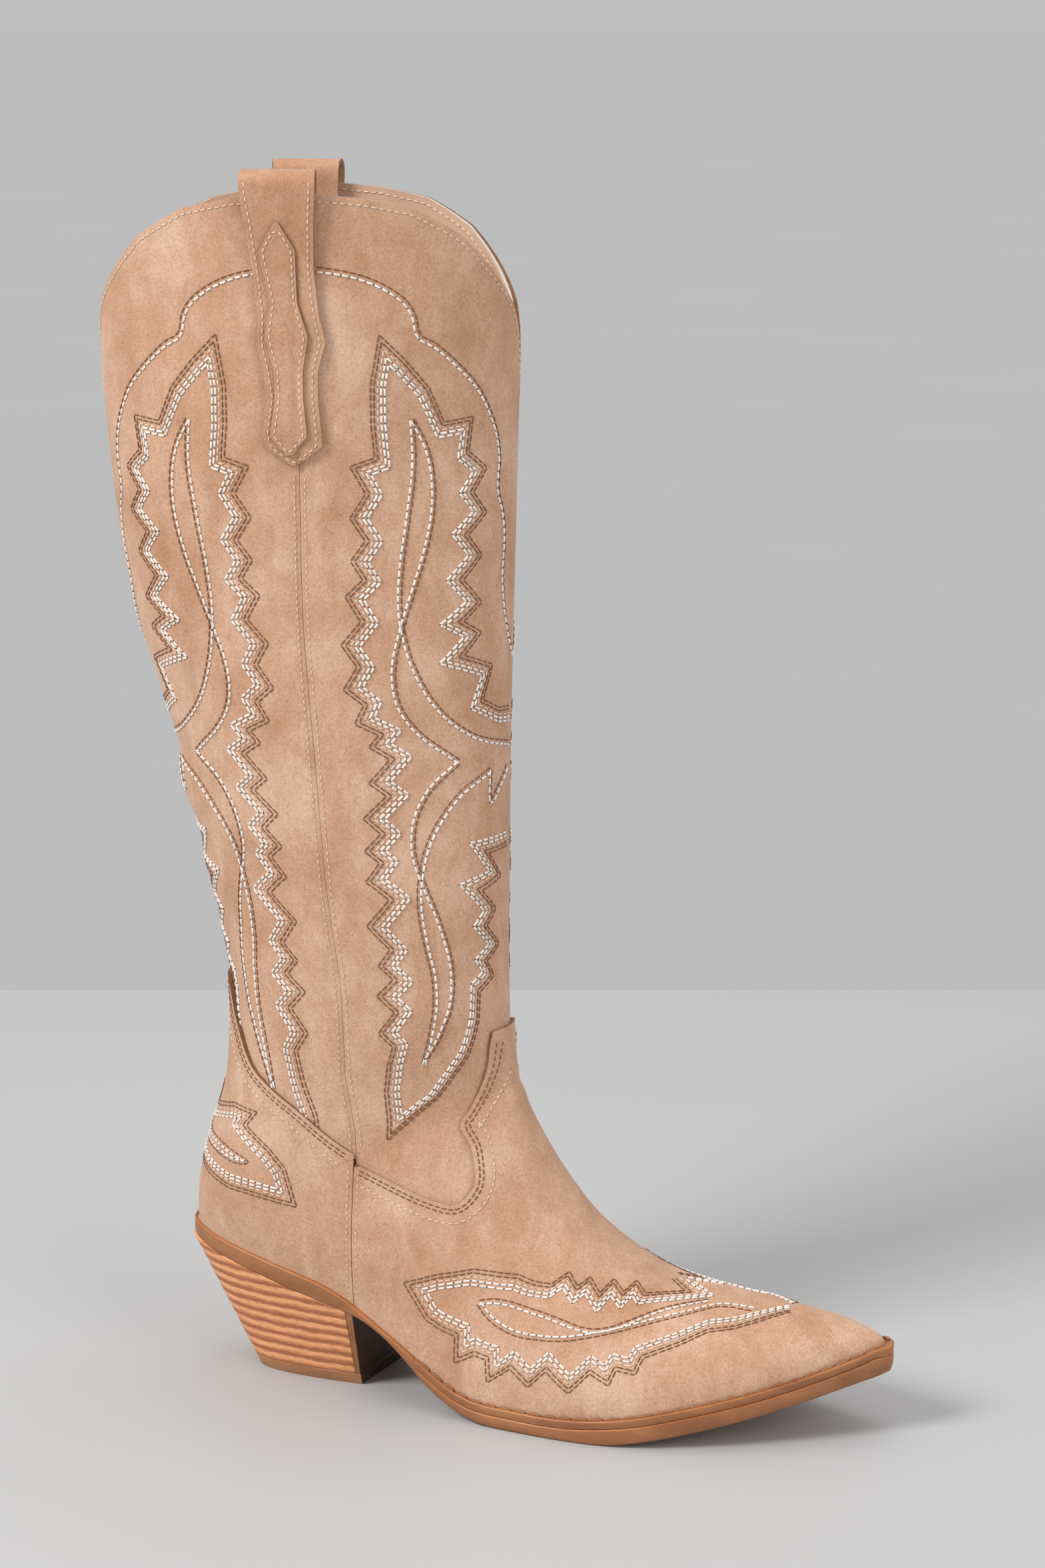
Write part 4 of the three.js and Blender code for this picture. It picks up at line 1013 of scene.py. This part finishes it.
def sole_outline(rows):
    """Both edges of the last in plan at those rows, and the directions that point out from them."""
    step = 0.02
    edges = []
    for side in (-1, 1):
        behind, edge, ahead = (sole_edge(np.clip(places, HEEL_SEAT, TOE), side)[:, :2]
                               for places in (rows - step, rows, rows + step))
        run = ahead - behind
        edges.append((edge, unit(np.stack([run[:, 1], -run[:, 0]], axis=1) * (-side))))
    return edges


def sole_rows(first, last):
    """Rows about 2.2 mm apart along the sole's edge."""
    rows = np.linspace(first, last, 400)
    length = run_length(sole_edge(rows))
    return np.interp(np.linspace(0, length[-1], int(length[-1] / 2.2)), length, rows)


def underside(x):
    return np.maximum(np.interp(x, SOLE_UNDERSIDE[:, 0], SOLE_UNDERSIDE[:, 1]), 0)


def edge_rings(rows, profile, loop):
    """Rings of points along the sole edge. profile lists (millimetres added to the ledge, height)."""
    rings = []
    for shift, height in profile:
        ring = []
        for edge, out in sole_outline(rows):
            plan = edge + out * (np.interp(edge[:, 0], *SOLE_LEDGE) + shift)[:, None]
            ring.append(np.column_stack([plan, height(plan[:, 0])]))
        rings.append(np.vstack([ring[0], ring[1][-2:0 if loop else None:-1]]))
    return rings


def sole_piece(name, rings, faces, lip_rings, across, node):
    """A piece of the sole whose quads on some rings have the colour of the lip."""
    lips = [i in lip_rings for i in range(len(faces) // across) for _ in range(across)]
    lips += [False] * (len(faces) - len(lips))
    make_piece(name, (np.vstack(rings), faces), [sole_brown, sole_lip], node, 60, lips)


def outsole_piece():
    top = lambda x: seat_height(x) - np.where(x > WELT_FROM, WELT + 0.05, 0)
    profile = [(-6, top), (-0.9, top), (-0.3, lambda x: top(x) - 0.2), (0, lambda x: top(x) - 0.8),
               (0.05, lambda x: (top(x) + underside(x)) / 2), (-0.1, lambda x: underside(x) + 1.1),
               (-0.45, lambda x: underside(x) + 0.35), (-1.2, underside), (-3, underside)]
    rings = edge_rings(sole_rows(HEEL_SEAT, TOE), profile, loop=True)
    count = len(rings[0])
    faces = []
    for start in range(0, (len(rings) - 1) * count, count):
        for j in range(count):
            k = (j + 1) % count
            faces.append((start + j, start + count + j, start + count + k, start + k))
    faces += cap_faces(0, count, False, 1)
    faces += cap_faces((len(rings) - 1) * count, count, True, 1)
    sole_piece("sole_unit", rings, faces, (1, 2), count, "outsole")


def welt_piece():
    top = seat_height
    rows = sole_rows(16.9, TOE)
    rows = rows[np.interp(rows, FOOT_ROWS, FOOT_X) > WELT_FROM - 1]
    profile = [(-7, lambda x: top(x) - WELT), (-7, top), (-1.5, top), (-1.1, lambda x: top(x) + 0.15),
               (-0.5, lambda x: top(x) + 0.1), (-0.1, lambda x: top(x) - 0.3), (0.05, lambda x: top(x) - 0.9),
               (0.05, lambda x: top(x) - WELT + 0.2), (-0.1, lambda x: top(x) - WELT)]
    rings = edge_rings(rows, profile, loop=False)
    count = len(rings[0])
    faces = grid_faces(len(rings), count, close="rows")
    back_end = range(0, len(rings) * count, count)
    faces += [tuple(back_end), tuple(i + count - 1 for i in back_end)[::-1]]
    sole_piece("welt_ledge", rings, faces, (2, 3, 4), count - 1, "welt")
    welt_marks(rows)


def welt_marks(rows):
    """The moulded stitch marks along the ledge."""
    marks = []
    for edge, out in sole_outline(rows):
        plan = edge + out * (0.62 * np.interp(edge[:, 0], *SOLE_LEDGE) + 0.3)[:, None]
        line = np.column_stack([plan, seat_height(plan[:, 0]) + 0.1])
        length = run_length(line)
        for at in np.arange(2, length[-1] - 6, 6.2):
            start, end = read_at((at, at + 4.9), length, line)
            marks.append((start, end, (0, 0, 1), 0.5))
    thread_piece("welt_stitch_marks", marks, sole_brown)


# ---- heel

LIFT = 4.6
HEEL_BREAST_TOP = (76.5, 80)      # x of the front corners, outer and inner side
HEEL_BREAST_FLOOR = (74, 78)
HEEL_BACK_FLOOR = 27
HEEL_HALF_WIDTH = 17.5
HEEL_MIDDLE = (46, 0)
HEEL_EDGE = sole_edge(np.linspace(HEEL_SEAT, 17, 80))


def heel_edge(side, share, inset):
    """A point of the head and of the foot of the heel. share is 0 at the back and 1 at the breast."""
    column = 0 if side < 0 else 1
    curve = 1 - math.cos(share * math.pi / 2)
    back = HEEL_EDGE[0, 0] - SOLE_LEDGE[1][0] + 0.4 + inset
    front = HEEL_BREAST_TOP[column] - inset
    x = back + (front - back) * curve ** 1.15
    last_x = HEEL_EDGE[0, 0] + (x - back) / (front - back) * (front + inset - HEEL_EDGE[0, 0])
    ledge = SOLE_LEDGE[1][0] - 0.4 - inset
    y = np.interp(last_x, HEEL_EDGE[:, 0], np.abs(HEEL_EDGE[:, 1])) + ledge * min(1, share * 12)
    floor_back = HEEL_BACK_FLOOR + inset
    floor_x = floor_back + (HEEL_BREAST_FLOOR[column] - inset - floor_back) * curve ** 1.1
    floor_y = side * (HEEL_HALF_WIDTH - inset) * math.sin(share * math.pi / 2) ** 0.62
    return (x, side * y * (share > 0)), (floor_x, floor_y)


def heel_columns(inset):
    """Head and foot points from the breast on one side, round the back, to the breast on the other."""
    shares = np.linspace(0, 1, 40)
    pairs = [heel_edge(-1, share, inset) for share in shares[::-1]]
    pairs += [heel_edge(1, share, inset) for share in shares[1:]]
    return np.array(pairs).transpose(1, 0, 2)


def heel_slice(head, foot, z, inward):
    """The points round the heel at a height, moved in towards its middle."""
    plan = foot + (head - foot) * (z / underside(head[:, 0]))[:, None]
    plan = plan - unit(plan - HEEL_MIDDLE) * np.reshape(inward, (-1, 1))
    return np.column_stack([plan, z + 0 * plan[:, 0]])


def heel_wall(head, foot, low, levels, groove=0.0):
    """Rows of points up the heel's wall, drawn in a little at the joints between layers."""
    rows = []
    for level in levels:
        z = low + (underside(head[:, 0]) - low) * level
        phase = (z / LAYER) % 1
        dip = groove * np.exp(-(np.minimum(phase, 1 - phase) * LAYER / 0.3) ** 2)
        rows.append(heel_slice(head, foot, z, dip))
    return rows


def heel_pieces():
    head, foot = heel_columns(0.0)
    wrapped = foot[:, 0] < HEEL_BREAST_FLOOR[0]
    rows = heel_wall(head[wrapped], foot[wrapped], LIFT + 0.1, np.linspace(0, 1, 110), groove=0.14)
    sheet = (np.vstack(rows), grid_faces(len(rows), wrapped.sum(), True))
    wrap = make_piece("stacked_cover", sheet, [stack], "heel_stack")
    thicken(wrap, 1.3, edge=0.15)
    head, foot = heel_columns(0.35)
    core = heel_wall(head, foot, LIFT + 0.1, np.linspace(0, 1, 24))
    solid_heel("heel_core", core, sole_brown, "heel_block")
    head, foot = heel_columns(0.0)
    levels = ((0, 0.3), (0.35, 0), (LIFT - 0.2, 0), (LIFT, 0.3))
    lift = [heel_slice(head, foot, z, inward) for z, inward in levels]
    solid_heel("heel_lift", lift, lift_brown, "top_lift")


def solid_heel(name, rows, material, node):
    """A closed slice of the heel with its breast face."""
    count = len(rows[0])
    faces = grid_faces(len(rows), count, True)
    walls = len(faces)
    for low in range(0, (len(rows) - 1) * count, count):
        high = low + count
        faces.append((high, high + count - 1, low + count - 1, low))
    breasts = len(faces) - walls
    faces += cap_faces(0, count, False, 0) + cap_faces((len(rows) - 1) * count, count, True, 0)
    dark = [False] * walls + [True] * breasts + [False] * (len(faces) - walls - breasts)
    make_piece(name, (np.vstack(rows), faces), [material, breast_brown], node, 35, dark)


# ---- what stays as the CAD made it

def keep_cad_nodes():
    board = plain_material("fibre_board", (0.34, 0.25, 0.17))
    foam = plain_material("foam", (0.48, 0.39, 0.28), 0.9)
    steel = plain_material("steel", (0.5, 0.5, 0.52), 0.35, 1.0)
    sock = leather_material("sock_leather", (0.55, 0.36, 0.25), (0.45, 0.28, 0.18))
    chosen = {
        "sock_liner": sock, "insole_board": board, "bottom_filler": foam, "toe_puff": board,
        "heel_stiffener": board, "shank": steel, "shank_rivet_1": steel, "shank_rivet_2": steel,
        "heel_screw": steel,
    }
    chosen.update({f"lift_nail_{i}": steel for i in range(1, 5)})
    for node, material in chosen.items():
        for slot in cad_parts[node].material_slots:
            slot.material = material


# ---- camera, floor and light

CAMERA_PLACE = [587.3, -1314.7, 517.4]
CAMERA_TURN = 0.333
CAMERA_DIP = 0.201
WALL_AWAY = 1.99                  # metres from the camera to the far edge of the floor
FLOOR_PALE = 0.53
GREY = 0.51                       # evenly lit grey of the backdrop


def stage():
    """A floor that ends square to the view, and beyond it a flat backdrop with a light of its own."""
    ahead = Vector((-math.sin(CAMERA_TURN), math.cos(CAMERA_TURN), 0))
    wide = Vector((ahead.y, -ahead.x, 0)) * 30
    meet = Vector(place(CAMERA_PLACE)) + ahead * WALL_AWAY
    meet.z = 0

    def clouded(shader, shade):
        return shader.ramp(shader.noise(400, 2), [(0.3, (shade * 0.98,) * 3), (0.7, (shade,) * 3)])

    floor = Shader("floor_white", roughness=0.55, specular_ior_level=0.3)
    floor.done(base_color=clouded(floor, FLOOR_PALE))
    wall = Shader("backdrop_grey", roughness=0.55, specular_ior_level=0.0, base_color=(0, 0, 0, 1),
                  emission_strength=1)
    wall.done(emission_color=clouded(wall, GREY))
    for name, shader, near, far in (("floor", floor, -5, 0), ("backdrop", wall, 0, 60)):
        corners = [meet + ahead * near - wide, meet + ahead * near + wide,
                   meet + ahead * far + wide, meet + ahead * far - wide]
        mesh = bpy.data.meshes.new(name)
        mesh.from_pydata([tuple(corner) for corner in corners], [], [(0, 1, 2, 3)])
        mesh.materials.append(shader.material)
        add_object(name, mesh)


def camera():
    data = bpy.data.cameras.new("camera")
    data.lens = 88.5
    data.sensor_width = 36
    item = add_object("camera", data)
    item.location = place(CAMERA_PLACE)
    item.rotation_euler = (math.pi / 2 - CAMERA_DIP, 0, CAMERA_TURN)
    bpy.context.scene.camera = item


def area_light(name, place_m, size, power):
    data = bpy.data.lights.new(name, "AREA")
    data.shape = "RECTANGLE"
    data.size, data.size_y = size
    data.energy = power
    item = add_object(name, data)
    item.location = place_m
    item.rotation_euler = (Vector((0, 0, 0.2)) - Vector(place_m)).to_track_quat("-Z", "Y").to_euler()


def lights():
    area_light("key", (-1.3, -1.8, 1.9), (0.9, 0.9), 58)
    area_light("fill", (2.1, -1.2, 1.2), (1.6, 1.6), 20)
    area_light("top", (0.1, 0.5, 2.4), (1.8, 1.2), 12)
    world = bpy.data.worlds.new("studio")
    world.use_nodes = True
    world.node_tree.nodes["Background"].inputs["Color"].default_value = (GREY, GREY, GREY, 1)
    bpy.context.scene.world = world
    bpy.context.scene.view_settings.view_transform = "Standard"


# ---- building

shaft_panels()
linings()
edge_backings()
seam_tapes()
outside = foot_pieces()
straps()
shaft_stitches()
top_edge_stitches()
strap_stitches()
vamp_stitches()
seam_stitches(outside)
counter_stitches(outside)
for (panel, color), laid in stitches.items():
    thread_piece(f"stitches_{panel}_{color}", laid, THREADS[color])
outsole_piece()
welt_piece()
heel_pieces()
keep_cad_nodes()
stage()
camera()
lights()
